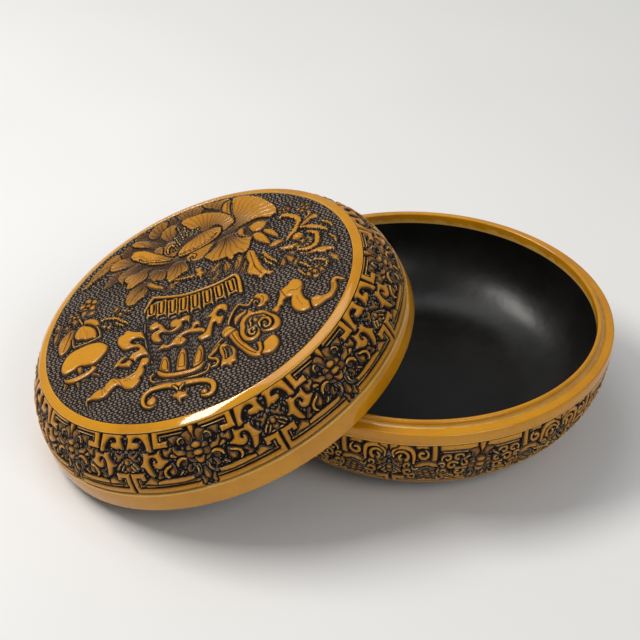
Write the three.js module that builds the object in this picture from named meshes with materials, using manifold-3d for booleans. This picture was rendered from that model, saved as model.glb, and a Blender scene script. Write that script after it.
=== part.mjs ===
// Round carved lacquer box, two loose halves: the base stands on its foot ring and the lid is off, leaning on it.
// Millimetres, +Z up. The lid leans on the base from the -X side, with its low edge on the table.
import * as THREE from "three";
import { mergeVertices } from "three/addons/utils/BufferGeometryUtils.js";
import Module from "manifold-3d";

const wasm = await Module();
wasm.setup();

// Whole box
const SEGMENTS = 60;
const GLUE_LINE = 0.3;
const COAT_THICKNESS = 2.6;
const LINING_THICKNESS = 0.8;
const RIM_RADIUS = 110;
const RIM_SWELL = 0.4;
const EDGE_ROUNDING = 0.9;

// Base, heights from the table
const LEDGE_HEIGHT = 58;
const LEDGE_WIDTH = 7;
const LEDGE_FALL = 0.25;
const LIP_HEIGHT = 3.4;
const LIP_THICKNESS = 2.5;
const BASE_RIM_HEIGHT = 6.9;
const MOUTH_RING_DEPTH = 3;
const BOWL_SWEEP_WIDTH = 44.7;
const BOWL_END_ANGLE = 71.2;
const HOLLOW_SWEEP_WIDTH = 40.5;
const HOLLOW_WALL_HEIGHT = 10;
const FLOOR_THICKNESS = 7.3;
const FOOT_HEIGHT = 4.4;
const FOOT_SET_BACK = 38.8;
const FOOT_WALL = 7.2;
const FOOT_EDGE_ROUNDING = 0.5;
const UNDERSIDE_THICKNESS = 1;
const CORE_STEP = 0.4;

// Lid, heights from its mouth
const LIP_CLEARANCE = 0.4;
const LID_RIM_HEIGHT = 10.4;
const LID_RING_DEPTH = 6;
const SHOULDER_SET_BACK = 0.2;
const SHOULDER_SWEEP_WIDTH = 31.6;
const SHOULDER_START = 11;
const SHOULDER_END_ANGLE = 55;
const TOP_GROOVE = 0.5;
const TOP_RING_WIDTH = 5.2;
const TOP_RING_HEIGHT = 43.4;
const TOP_RING_RISE = 2;
const TOP_RING_THICKNESS = 3.2;
const PANEL_EDGE_HEIGHT = 46.8;
const PANEL_DOME = 0.6;
const BOARD_THICKNESS = 4.3;
const CEILING_SWEEP_WIDTH = 25.4;
const CEILING_SWEEP_START = 14;

// Carving on the lid
const PANEL_CARVING_DEPTH = 1.7;
const BAND_CARVING_DEPTH = 1.5;
const CARVING_ROOT = 0.3;
const PLAIN_STRIP = 1.3;
const BAND_REPEATS = 8;
const FLOWER_ANGLE = -101.4;

// The lid's lean
const AXIS_SET_IN = 1.9;
const LEAN_CLEARANCE = 0.3;

const OCHRE = 0xd79c25;
const BLACK = 0x171513;
const WOOD = 0xa07c52;

function material(color, roughness) {
  return new THREE.MeshStandardMaterial({ color, roughness, metalness: 0 });
}

// A closed profile of [radius, height] points, turned round the Z axis. The outside runs upwards.
function turned(name, profile, look) {
  const points = profile.map(([radius, height]) => new THREE.Vector2(radius, height));
  const closes = profile[0][0] > 0;
  if (closes) {
    points.push(points[0].clone());
  }
  const geometry = new THREE.LatheGeometry(points, SEGMENTS);
  geometry.rotateX(Math.PI / 2);
  const mesh = new THREE.Mesh(geometry, look);
  mesh.name = name;
  return mesh;
}

function solidFrom(geometry) {
  const bare = geometry.clone();
  bare.deleteAttribute("normal");
  bare.deleteAttribute("uv");
  const merged = mergeVertices(bare, 1e-4);
  return new wasm.Manifold(new wasm.Mesh({
    numProp: 3,
    vertProperties: new Float32Array(merged.attributes.position.array),
    triVerts: new Uint32Array(merged.index.array),
  }));
}

function geometryFrom(solid) {
  const { vertProperties, triVerts } = solid.getMesh();
  const geometry = new THREE.BufferGeometry();
  geometry.setAttribute("position", new THREE.BufferAttribute(vertProperties, 3));
  geometry.setIndex(new THREE.BufferAttribute(triVerts, 1));
  const faceted = geometry.toNonIndexed();
  faceted.computeVertexNormals();
  return faceted;
}

// Points of an ellipse arc round (centreRadius, centreHeight), both ends included.
function sweep(centreRadius, centreHeight, width, height, from, to, steps) {
  const points = [];
  for (let i = 0; i <= steps; i++) {
    const angle = from + ((to - from) * i) / steps;
    points.push([
      centreRadius + width * Math.cos(angle),
      centreHeight + height * Math.sin(angle),
    ]);
  }
  return points;
}

// Base
const baseRimFoot = LEDGE_HEIGHT - BASE_RIM_HEIGHT;
const bowlEndHeight = FOOT_HEIGHT + GLUE_LINE;
const bowlCentreRadius = RIM_RADIUS - BOWL_SWEEP_WIDTH;
const bowlEnd = THREE.MathUtils.degToRad(BOWL_END_ANGLE);
const bowlSweepDepth = (baseRimFoot - bowlEndHeight) / Math.sin(bowlEnd);
const lipOuterRadius = RIM_RADIUS - LEDGE_WIDTH;
const lipInnerRadius = lipOuterRadius - LIP_THICKNESS;
const floorEdgeRadius = lipInnerRadius - HOLLOW_SWEEP_WIDTH;
const hollowTop = LEDGE_HEIGHT - HOLLOW_WALL_HEIGHT;
const floorHeight = bowlEndHeight + FLOOR_THICKNESS;

// The outside of the bowl or a surface that far inside it, from its foot up to the plain rim.
function bowlSkin(inset, steps) {
  return sweep(
    bowlCentreRadius,
    baseRimFoot - GLUE_LINE,
    BOWL_SWEEP_WIDTH - inset,
    bowlSweepDepth - inset,
    -bowlEnd,
    0,
    steps,
  );
}

// The hollow's surface or one that far outside it, from its top edge down to the flat floor.
function hollowSkin(outset, steps) {
  return sweep(
    floorEdgeRadius,
    hollowTop,
    HOLLOW_SWEEP_WIDTH + outset,
    hollowTop - floorHeight + outset,
    0,
    -Math.PI / 2,
    steps,
  );
}

const mouthRingFoot = LEDGE_HEIGHT - MOUTH_RING_DEPTH;
const liningOutset = LINING_THICKNESS + GLUE_LINE;
const coatInset = COAT_THICKNESS + GLUE_LINE;

// The wooden bowl round the floor board.
function baseCore(look) {
  const top = mouthRingFoot - GLUE_LINE;
  const outside = bowlSkin(coatInset, 8);
  const inside = hollowSkin(liningOutset, 7);
  const stepRadius = outside[0][0] - CORE_STEP;
  return turned("base_core", [
    [floorEdgeRadius, bowlEndHeight],
    [stepRadius, bowlEndHeight],
    [stepRadius, outside[0][1]],
    ...outside,
    [outside.at(-1)[0], top],
    [inside[0][0], top],
    ...inside,
  ], look);
}

function baseFloor(look) {
  const radius = floorEdgeRadius - GLUE_LINE;
  const top = floorHeight - liningOutset;
  return turned("base_floor", [
    [0, bowlEndHeight],
    [radius, bowlEndHeight],
    [radius, top],
    [0, top],
  ], look);
}

function baseLining(look) {
  const top = mouthRingFoot - GLUE_LINE;
  const inside = hollowSkin(0, 7);
  const outside = hollowSkin(LINING_THICKNESS, 7).reverse();
  return turned("base_lining", [
    [0, floorHeight - LINING_THICKNESS],
    ...outside,
    [outside.at(-1)[0], top],
    [inside[0][0], top],
    ...inside,
    [0, floorHeight],
  ], look);
}

function baseSideBand(look) {
  const outside = bowlSkin(0, 8);
  const inside = bowlSkin(COAT_THICKNESS, 8).reverse();
  return turned("base_side_band", [...outside, ...inside], look);
}

// Plain rim: the wall's top band, the ledge that the lid sits on and the lip that centres it.
const ledgeInnerHeight = LEDGE_HEIGHT + LEDGE_FALL;
const lipTop = LEDGE_HEIGHT + LIP_HEIGHT;
const baseContactCircles = [
  [RIM_RADIUS, LEDGE_HEIGHT - EDGE_ROUNDING],
  [RIM_RADIUS - EDGE_ROUNDING, LEDGE_HEIGHT],
  [lipOuterRadius, lipTop - EDGE_ROUNDING],
  [lipOuterRadius - EDGE_ROUNDING, lipTop],
];

function baseMouthRing(look) {
  const skinRadius = bowlCentreRadius + BOWL_SWEEP_WIDTH - COAT_THICKNESS;
  return turned("base_mouth_ring", [
    [lipInnerRadius, mouthRingFoot],
    [skinRadius, mouthRingFoot],
    [skinRadius, baseRimFoot],
    [RIM_RADIUS, baseRimFoot],
    [RIM_RADIUS + RIM_SWELL, baseRimFoot + EDGE_ROUNDING],
    [RIM_RADIUS + RIM_SWELL, LEDGE_HEIGHT - BASE_RIM_HEIGHT / 2],
    ...baseContactCircles.slice(0, 2),
    [lipOuterRadius, ledgeInnerHeight],
    ...baseContactCircles.slice(2),
    [lipInnerRadius + EDGE_ROUNDING / 2, lipTop],
    [lipInnerRadius, lipTop - EDGE_ROUNDING / 2],
  ], look);
}

const footRadius = RIM_RADIUS - FOOT_SET_BACK;
const footInnerRadius = footRadius - FOOT_WALL;

function baseFootRing(look) {
  return turned("base_foot_ring", [
    [footInnerRadius, FOOT_EDGE_ROUNDING],
    [footInnerRadius + FOOT_EDGE_ROUNDING, 0],
    [footRadius - EDGE_ROUNDING, 0],
    [footRadius, EDGE_ROUNDING],
    [footRadius, FOOT_HEIGHT],
    [footInnerRadius, FOOT_HEIGHT],
  ], look);
}

function baseUnderside(look) {
  const radius = footInnerRadius - GLUE_LINE;
  const recess = FOOT_HEIGHT - UNDERSIDE_THICKNESS;
  return turned("base_underside", [
    [0, recess],
    [radius, recess],
    [radius, FOOT_HEIGHT],
    [0, FOOT_HEIGHT],
  ], look);
}

// Lid
const lidInnerRadius = lipOuterRadius + LIP_CLEARANCE;
const lidRimTop = LID_RIM_HEIGHT;
const shoulderCentreRadius = RIM_RADIUS - SHOULDER_SET_BACK - SHOULDER_SWEEP_WIDTH;
const bandFoot = lidRimTop + GLUE_LINE;
const bandHead = TOP_RING_HEIGHT - GLUE_LINE;
const shoulderTo = THREE.MathUtils.degToRad(SHOULDER_END_ANGLE);
const shoulderSweepHeight = (bandHead - SHOULDER_START) / Math.sin(shoulderTo);
const shoulderFrom = Math.asin((bandFoot - SHOULDER_START) / shoulderSweepHeight);
const bandHeadRadius = shoulderCentreRadius + SHOULDER_SWEEP_WIDTH * Math.cos(shoulderTo);
const topRingOuterRadius = bandHeadRadius - TOP_GROOVE;
const topRingInnerRadius = topRingOuterRadius - TOP_RING_WIDTH;
const ringSeat = TOP_RING_HEIGHT - TOP_RING_THICKNESS;
const lidCoreTop = ringSeat - GLUE_LINE;
const boardEdgeRadius = lidInnerRadius - CEILING_SWEEP_WIDTH;
const ceilingHeight = lidCoreTop - BOARD_THICKNESS - liningOutset;

// The lid's shoulder or a surface that far inside it, from the plain rim up to the top ring.
function shoulderSkin(inset, steps) {
  return sweep(
    shoulderCentreRadius,
    SHOULDER_START,
    SHOULDER_SWEEP_WIDTH - inset,
    shoulderSweepHeight - inset,
    shoulderFrom,
    shoulderTo,
    steps,
  );
}

// The lid's hollow or a surface that far outside it, from the wall in to the flat ceiling.
function ceilingSkin(outset, steps) {
  return sweep(
    boardEdgeRadius,
    CEILING_SWEEP_START,
    CEILING_SWEEP_WIDTH + outset,
    ceilingHeight - CEILING_SWEEP_START + outset,
    0,
    Math.PI / 2,
    steps,
  );
}

// The wooden wall and shoulder round the top board.
function lidCore(look) {
  const foot = LID_RING_DEPTH + GLUE_LINE;
  const outside = shoulderSkin(coatInset, 7).filter(([, height]) => height < lidCoreTop);
  const inside = ceilingSkin(liningOutset, 6).reverse();
  return turned("lid_core", [
    [inside.at(-1)[0], foot],
    [outside[0][0], foot],
    ...outside,
    [topRingOuterRadius - COAT_THICKNESS, lidCoreTop],
    [boardEdgeRadius, lidCoreTop],
    ...inside,
  ], look);
}

function lidBoard(look) {
  const radius = boardEdgeRadius - GLUE_LINE;
  const bottom = ceilingHeight + liningOutset;
  return turned("lid_board", [
    [0, bottom],
    [radius, bottom],
    [radius, lidCoreTop],
    [0, lidCoreTop],
  ], look);
}

function lidLining(look) {
  const foot = LID_RING_DEPTH + GLUE_LINE;
  const inside = ceilingSkin(0, 6).reverse();
  const outside = ceilingSkin(LINING_THICKNESS, 6);
  return turned("lid_lining", [
    [lidInnerRadius, foot],
    [lidInnerRadius + LINING_THICKNESS, foot],
    ...outside,
    [0, ceilingHeight + LINING_THICKNESS],
    [0, ceilingHeight],
    ...inside,
  ], look);
}

// Main forms of half a repeat of the lid's side band: millimetres along the rim from the
// flower's middle, and up the shoulder's skin.
const BAND_DRAWING = { halfWidth: 42.4, height: 36 };
const halfRepeatForms = [
  // bar of the key frame, in two lengths, and its hook beside the seam
  [[3.6, 2.4], [21.6, 2.4], [21.6, 5.5], [4.2, 5.5]],
  [[22.4, 2.4], [41.7, 2.4], [41.7, 13], [38.6, 13], [38.6, 5.5], [22.4, 5.5]],
  // frame over the flower
  [[5, 32.4], [24, 28], [24, 35.6], [5, 35.6]],
  // arched curl beside the seam
  [[25.4, 27.4], [32, 33], [41, 28], [40.6, 35.6], [26.4, 35.6]],
  // barbed scroll
  [[28, 13], [34.6, 19], [31, 25.6], [21.4, 26], [16.6, 19.6]],
];
// Right halves of the flower's lower and upper petals, each from its foot to its head.
const flowerHalves = [
  [[1.4, 6.6], [6, 10], [5, 18]],
  [[6.4, 20], [6.4, 30], [1.8, 32.6]],
];

const shoulderTable = shoulderSkin(0, 48);

// The angle of the shoulder's ellipse that far up its skin, given as a share of its length.
function shoulderAngle(share) {
  const lengths = [0];
  for (let i = 1; i < shoulderTable.length; i++) {
    const [r0, h0] = shoulderTable[i - 1];
    const [r1, h1] = shoulderTable[i];
    lengths.push(lengths[i - 1] + Math.hypot(r1 - r0, h1 - h0));
  }
  const wanted = share * lengths.at(-1);
  const next = Math.max(1, lengths.findIndex((length) => length >= wanted));
  const part = (wanted - lengths[next - 1]) / (lengths[next] - lengths[next - 1]);
  return shoulderFrom + ((shoulderTo - shoulderFrom) * (next - 1 + part)) / (shoulderTable.length - 1);
}

// A place of the band's drawing, as a point that far inside the shoulder's skin.
function bandPoint([along, up], inset, axis) {
  const halfAngle = Math.PI / BAND_REPEATS;
  const turn = axis + (along / BAND_DRAWING.halfWidth) * halfAngle;
  const angle = shoulderAngle(up / BAND_DRAWING.height);
  const r = shoulderCentreRadius + (SHOULDER_SWEEP_WIDTH - inset) * Math.cos(angle);
  const h = SHOULDER_START + (shoulderSweepHeight - inset) * Math.sin(angle);
  return [r * Math.cos(turn), r * Math.sin(turn), h];
}

// A raised form of the band: its outline on the skin, closed by the same outline under the ground.
function bandForm(outline, axis) {
  const flat = outline.map(([x, y]) => new THREE.Vector2(x, y));
  const ordered = THREE.ShapeUtils.isClockWise(flat) ? [...outline].reverse() : outline;
  const faces = THREE.ShapeUtils.triangulateShape(ordered.map(([x, y]) => new THREE.Vector2(x, y)), []);
  const count = ordered.length;
  const root = BAND_CARVING_DEPTH + CARVING_ROOT;
  const points = [
    ...ordered.map((place) => bandPoint(place, 0, axis)),
    ...ordered.map((place) => bandPoint(place, root, axis)),
  ];
  const index = [];
  for (const [a, b, c] of faces) {
    index.push(a, b, c, count + a, count + c, count + b);
  }
  for (let i = 0; i < count; i++) {
    const j = (i + 1) % count;
    index.push(i, count + i, count + j, i, count + j, j);
  }
  const geometry = new THREE.BufferGeometry();
  geometry.setAttribute("position", new THREE.Float32BufferAttribute(points.flat(), 3));
  geometry.setIndex(index);
  return solidFrom(geometry);
}

// The band's sunk ground with a plain strip along its foot, and the carving's main forms on it.
function lidSideBand(look) {
  const strip = shoulderSkin(0, 27)[1];
  const ground = shoulderSkin(BAND_CARVING_DEPTH, 3).slice(1);
  const stripHead = [strip[0] - BAND_CARVING_DEPTH, strip[1]];
  const inside = shoulderSkin(COAT_THICKNESS, 7).reverse();
  const foot = shoulderSkin(0, 7)[0];
  const band = turned("lid_side_band", [foot, strip, stripHead, ...ground, ...inside], look);
  let solid = solidFrom(band.geometry);
  const mirrored = (outline) => outline.map(([x, y]) => [-x, y]);
  const petals = flowerHalves.map((half) => [...half, ...mirrored(half).reverse()]);
  for (let i = 0; i < BAND_REPEATS; i++) {
    const axis = THREE.MathUtils.degToRad(FLOWER_ANGLE) + (2 * Math.PI * i) / BAND_REPEATS;
    for (const form of [...petals, ...halfRepeatForms, ...halfRepeatForms.map(mirrored)]) {
      solid = solid.add(bandForm(form, axis));
    }
  }
  band.geometry = geometryFrom(solid);
  return band;
}

// Low outer points of the lid's plain rim, which meet the table.
const lidLowPoints = [
  [RIM_RADIUS - EDGE_ROUNDING, 0],
  [RIM_RADIUS, EDGE_ROUNDING],
  [RIM_RADIUS + RIM_SWELL, LID_RIM_HEIGHT / 2],
];

function lidMouthRing(look) {
  const skinRadius = shoulderSkin(COAT_THICKNESS, 7)[0][0];
  return turned("lid_mouth_ring", [
    [lidInnerRadius, 0],
    ...lidLowPoints,
    [RIM_RADIUS + RIM_SWELL, lidRimTop - EDGE_ROUNDING],
    [RIM_RADIUS, lidRimTop],
    [skinRadius, lidRimTop],
    [skinRadius, LID_RING_DEPTH],
    [lidInnerRadius, LID_RING_DEPTH],
  ], look);
}

// A bead whose rounded face rises from its outer edge to a crest near its inner edge.
function lidTopRing(look) {
  const outer = topRingOuterRadius;
  const inner = topRingInnerRadius;
  const crest = TOP_RING_HEIGHT + TOP_RING_RISE;
  return turned("lid_top_ring", [
    [inner, ringSeat],
    [outer - COAT_THICKNESS, ringSeat],
    [outer, TOP_RING_HEIGHT],
    [outer - 0.1, TOP_RING_HEIGHT + 0.4],
    [outer - 0.6, TOP_RING_HEIGHT + 0.75],
    [outer - 2.4, crest - 0.53],
    [outer - 4.2, crest],
    [inner + 0.35, crest],
    [inner, crest - 0.4],
  ], look);
}

// Main forms of the panel's picture, as drawn. x runs up the lean, y to the back. The drawing is
// moved on the panel by this much, and is drawn out towards the back beyond one line.
const PANEL_DRAWING_SHIFT = [0.45, -4.5];
const PANEL_DRAWN_OUT = { from: 62, by: 1.17 };
const panelForms = [
  // vase: collar, cloud scrolls, lappets with the foot, and its stand
  [[-29, 10], [-23, 20], [-9, 13.6], [6, 9.8], [24, 9.6], [25, -6.8], [1, -6.3], [-12, -2.4], [-20, 1.2]],
  [[-28.6, -1], [-23, -0.6], [-19, -10], [-13, -5.6], [-6, -7], [-10, -14], [-18, -15], [-24, -18.4], [-29, -12]],
  [[-26.6, -25], [-14, -19.8], [-2, -15.2], [10.4, -10], [15.6, -14], [9, -17], [12, -23], [3, -32.6], [-3, -31], [-12, -23], [-14, -28.6], [-22, -26.6]],
  [[-29.6, -42.4], [-24, -32.6], [-20, -45], [-13.4, -32.4], [-11, -47], [-3.6, -36], [-3.6, -51], [-9, -55.4], [-20, -52.6], [-28, -47.6]],
  [[-38, -57], [-33, -53.6], [-18, -58.8], [-4, -65], [-0.6, -73], [-5, -78], [-9, -74], [-4.6, -71], [-17, -62], [-33, -57.6], [-33, -66], [-38, -66.6], [-41, -61]],
  // citron with its dish and leaves
  [[-82, -5], [-76, 6], [-66, 7.2], [-57, 4], [-53.6, -2], [-58, -9.4], [-63, -11.6], [-80, -10]],
  [[-81, -12], [-65, -14], [-62, -16], [-70, -20], [-80, -18]],
  [[-82, 9], [-82, 18], [-73, 28], [-71, 24], [-77, 10]],
  [[-72, 18], [-67, 26], [-61, 21], [-59, 11], [-70, 15]],
  [[-67, 58.5], [-56, 63.6], [-44, 69.6], [-37, 71], [-38, 77], [-50, 72]],
  // ribbon at the vase's left
  [[-48, -4], [-42, 3.4], [-33, -4], [-34, -17], [-32, -24.4], [-40, -25], [-43, -21], [-37, -17], [-44, -12.6]],
  [[-53, -24.4], [-47, -17.8], [-42, -24], [-45, -27]],
  [[-36, -26.2], [-32.6, -29], [-36, -36], [-39.4, -44], [-46, -46.4], [-52, -39.2], [-61, -43.4], [-70, -40.8], [-67, -37.6], [-60, -35.8], [-54, -31.6], [-44, -34.8], [-39, -31]],
  // sceptre: head, cap, staff and knob, and the tassel beside it
  [[26, -25], [35.6, -33], [40.6, -44], [38, -50.4], [31, -48.4], [25, -51.4], [19.4, -48], [18.6, -38], [21.6, -30]],
  [[8.8, -35], [12, -31.6], [16.2, -36], [18.4, -46], [24.8, -60], [27.6, -54.6], [28, -62], [23, -65], [17.4, -56], [12.6, -41]],
  [[30, -55.4], [36.2, -55.6], [35.6, -64], [28.6, -66.4], [27.6, -61]],
  [[-0.6, -48], [3, -46], [9, -43.4], [14, -51], [12.8, -61], [4.2, -60.8], [5.4, -49]],
  [[30.6, -17], [37, -17.4], [38, -25], [31, -26.4], [33, -21]],
  // ribbon at the right
  [[49.8, -19], [54.4, -16.4], [57.8, -22], [56, -32], [58.4, -43], [54.6, -46.4], [48.6, -37.6], [49.6, -30], [45, -31], [40, -37.6], [38, -34], [44, -22]],
  [[59, -39.6], [70.4, -38], [74, -29.4], [79.4, -34.8], [75, -34], [72.6, -41.4], [64, -46.4], [59, -45]],
  // left peony
  [[-50.4, 52.4], [-44, 61], [-40, 60], [-41.4, 54.2]],
  [[-45, 67], [-39, 71.4], [-27, 64.6], [-35, 62.8]],
  [[-39.6, 49.6], [-40.6, 57], [-28, 60.8], [-30, 55]],
  [[-39, 28], [-38, 35], [-28, 41], [-25, 38], [-28.4, 28], [-36, 25]],
  [[-37.6, 51], [-37, 42], [-26, 43], [-22, 51.4], [-30, 52.6]],
  [[-25, 37], [-20, 35], [-16, 28], [-18, 27]],
  [[-22.6, 42], [-19.6, 47.6], [-13, 42], [-16.4, 35.6]],
  [[-12.8, 36], [-8, 45], [-2, 44], [0, 36], [-12, 30.4]],
  [[-31, 69], [-26, 71], [-14, 59.6], [-4, 48.6], [-13, 50], [-24, 58.4]],
  [[-36, 72], [-33, 79.6], [-29, 78], [-31, 71.4]],
  [[-29, 79], [-22, 78], [-13.6, 69], [-23, 73.4]],
  [[-18, 80], [-11, 87], [-6, 85], [-13, 77.4]],
  [[-11, 73], [-5, 80.4], [-1, 78], [-4, 70]],
  [[-17, 64], [-8, 67], [-3, 60], [-7, 53], [-14, 60]],
  // right peony
  [[1, 86], [3, 82], [15, 81.4], [17, 84.6], [11, 87.4]],
  [[18, 85], [27, 75.6], [33, 81.4], [25, 84.6]],
  [[35.6, 79], [43, 78.4], [51, 71], [57, 57], [54, 50], [42, 53.8], [26, 53.4], [33.4, 62]],
  [[11, 38.4], [21, 49], [30, 49.4], [39, 37], [34, 27], [25, 26], [14, 31.4]],
  [[40, 48], [44, 50.2], [50, 46], [44, 40.8]],
  [[40.4, 39], [48, 25], [42, 32]],
  [[47, 39.4], [53.6, 31], [53, 27.4], [48, 34]],
  [[3.8, 76], [4, 80.4], [18, 78], [32, 64], [30, 58.6], [25, 57], [23, 64.4], [12, 65]],
  [[-3, 51.6], [4, 60], [18, 62.8], [23.6, 58], [16, 51], [4, 49]],
  [[0.6, 44], [8, 49], [17.6, 49], [9, 38.6]],
  // leaves beside the collar
  [[33, 22], [36, 26], [39, 20], [40, 7], [45, -2], [36.4, -1.6], [31.6, 6]],
  [[19.8, 15], [21, 25.6], [24, 21]],
  [[25, 13], [28, 23.4], [31, 24], [28, 15]],
  // blossoms and strap leaves at the right
  [[58, 42.4], [61, 45], [67, 38], [66, 28], [57, 20], [63, 30], [63.6, 37]],
  [[67, 28.4], [76, 34], [78, 29.6], [82, 13], [70, 24]],
  [[60.4, 18], [64, 23], [70, 19], [74.6, 13], [70.6, 4.4], [61.6, 7], [52.8, 14]],
  [[50, 2], [53.6, 9.6], [59.6, 7], [56, -1.8]],
  [[61.8, 4.4], [73, 1.6], [80, -5], [73, -4.4], [66, -0.8]],
  [[60, -17], [64, -12.4], [70.6, -13.4], [71, -19.6], [66.6, -23.4]],
  [[-66.4, 42], [-61, 48], [-56, 44], [-58, 35], [-65, 35.6]],
];

// Height of the panel's face that far from its middle, as a share of its radius.
function panelFace(share) {
  return PANEL_EDGE_HEIGHT + PANEL_DOME * (1 - share * share);
}

// A place of the panel's drawing, on the panel.
function panelPoint([x, y]) {
  const { from, by } = PANEL_DRAWN_OUT;
  const drawn = y > from ? from + (y - from) * by : y;
  return new THREE.Vector2(x + PANEL_DRAWING_SHIFT[0], drawn + PANEL_DRAWING_SHIFT[1]);
}

// The picture's forms as plates, each up to the height that the panel's face has at its middle.
function panelPlates(radius) {
  const root = panelFace(1) - PANEL_CARVING_DEPTH - CARVING_ROOT;
  return panelForms.map((outline) => {
    const corners = outline.map(panelPoint);
    const middle = corners.reduce((sum, corner) => sum.add(corner), new THREE.Vector2());
    const face = panelFace(middle.length() / corners.length / radius);
    const plate = new THREE.ExtrudeGeometry(new THREE.Shape(corners), { depth: face - root, bevelEnabled: false });
    return solidFrom(plate.translate(0, 0, root));
  });
}

// A sunk domed ground with the picture's main forms standing on it.
function lidTopPanel(look) {
  const radius = topRingInnerRadius - GLUE_LINE;
  const ground = [1, 0.5, 0].map((share) => [radius * share, panelFace(share) - PANEL_CARVING_DEPTH]);
  const panel = turned("lid_top_panel", [[0, ringSeat], [radius, ringSeat], ...ground], look);
  const solid = panelPlates(radius).reduce(
    (joined, plate) => joined.add(plate),
    solidFrom(panel.geometry),
  );
  panel.geometry = geometryFrom(solid);
  return panel;
}

const leanDistance = RIM_RADIUS - AXIS_SET_IN;

// Height of the lid's mouth centre when its low edge touches the table at this tilt.
function mouthCentreHeight(tilt) {
  return Math.max(
    ...lidLowPoints.map(([r, h]) => r * Math.sin(tilt) - h * Math.cos(tilt)),
  );
}

// How far the base's edge circles reach above the lid's mouth plane where they pass its inner edge.
function reachIntoMouth(tilt) {
  const c = Math.cos(tilt);
  const s = Math.sin(tilt);
  const centreHeight = mouthCentreHeight(tilt);
  const inner = lidInnerRadius * Math.cos(Math.PI / SEGMENTS);
  const reaches = baseContactCircles.map(([radius, height]) => {
    const rise = height - centreHeight;
    const m = leanDistance * c + rise * s;
    const root = Math.sqrt((c * m) ** 2 + s * s * (m * m + radius * radius - inner * inner));
    const along = (root - c * m) / (s * s);
    return (along - leanDistance) * s + rise * c;
  });
  return Math.max(...reaches);
}

// The tilt at which the lid's inner edge stands just clear of the base's rim, by halving.
function leanTilt() {
  let low = THREE.MathUtils.degToRad(12);
  let high = THREE.MathUtils.degToRad(35);
  for (let i = 0; i < 50; i++) {
    const middle = (low + high) / 2;
    if (reachIntoMouth(middle) > -LEAN_CLEARANCE) {
      low = middle;
    } else {
      high = middle;
    }
  }
  return high;
}

const tilt = leanTilt();
const lidReach = Math.max(
  ...shoulderSkin(0, 7).map(([r, h]) => r * Math.cos(tilt) + h * Math.sin(tilt)),
);
const baseReach = RIM_RADIUS + RIM_SWELL;
const baseShift = (leanDistance + lidReach - baseReach) / 2;

const ochre = material(OCHRE, 0.35);
const black = material(BLACK, 0.3);
const wood = material(WOOD, 0.7);

function baseGroup() {
  const group = new THREE.Group();
  group.name = "base";
  group.add(
    baseCore(wood),
    baseFloor(wood),
    baseLining(black),
    baseSideBand(ochre),
    baseMouthRing(ochre),
    baseFootRing(black),
    baseUnderside(black),
  );
  group.position.set(baseShift, 0, 0);
  return group;
}

function lidGroup() {
  const group = new THREE.Group();
  group.name = "lid";
  group.add(
    lidCore(wood),
    lidBoard(wood),
    lidLining(black),
    lidSideBand(ochre),
    lidMouthRing(ochre),
    lidTopRing(ochre),
    lidTopPanel(ochre),
  );
  group.rotation.y = -tilt;
  group.position.set(baseShift - leanDistance, 0, mouthCentreHeight(tilt));
  return group;
}

const box = new THREE.Group();
box.name = "lacquer_box";
box.add(baseGroup(), lidGroup());

export default box;
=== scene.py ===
import math

import bpy
import numpy as np
from mathutils import Matrix, Vector


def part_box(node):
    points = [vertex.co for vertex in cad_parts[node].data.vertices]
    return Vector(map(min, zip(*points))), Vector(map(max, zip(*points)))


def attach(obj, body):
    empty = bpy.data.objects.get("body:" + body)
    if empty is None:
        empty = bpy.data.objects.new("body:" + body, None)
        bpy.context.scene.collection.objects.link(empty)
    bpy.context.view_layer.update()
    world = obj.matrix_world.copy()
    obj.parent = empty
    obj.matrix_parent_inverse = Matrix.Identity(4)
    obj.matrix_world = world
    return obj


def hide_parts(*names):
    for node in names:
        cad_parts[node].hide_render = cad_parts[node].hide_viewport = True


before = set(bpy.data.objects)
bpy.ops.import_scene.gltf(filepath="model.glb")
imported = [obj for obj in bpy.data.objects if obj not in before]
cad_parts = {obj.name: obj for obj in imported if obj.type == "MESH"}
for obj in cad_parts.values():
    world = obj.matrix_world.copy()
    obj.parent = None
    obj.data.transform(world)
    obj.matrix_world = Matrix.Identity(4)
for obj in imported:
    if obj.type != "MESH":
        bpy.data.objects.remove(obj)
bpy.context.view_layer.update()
bpy.context.scene.view_settings.view_transform = "Standard"

# Sizes in millimetres, the same as the solids have; an ellipse is a centre and a reach, each
# given as radius and height
MM = 0.001
TURNS = 360
RIM_RADIUS = 110.0
RIM_SWELL = 0.4
RIM_ROUNDING = 1.2
SMALL_ROUNDING = 0.4

# Base: radii from its own axis and heights over the table
BASE_CENTRE = sum(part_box("base_mouth_ring")[k].x for k in (0, 1)) / 2 / MM
LEDGE_HEIGHT = 58.0
LEDGE_FALL = 0.25
LIP_OUTER, LIP_INNER, LIP_TOP = 103.0, 100.5, 61.4
BASE_RIM_FOOT = 51.1
BOWL_CENTRE, BOWL_REACH = (65.3, 50.8), (44.7, 49.015)
BOWL_END = math.radians(71.2)
HOLLOW_CENTRE, HOLLOW_REACH = (60.0, 48.0), (40.5, 36.0)
HOLLOW_TOP, LINING = 54.7, 0.8
FOOT_OUTER, FOOT_INNER, FOOT_HEIGHT = 71.2, 64.0, 4.4

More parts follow.
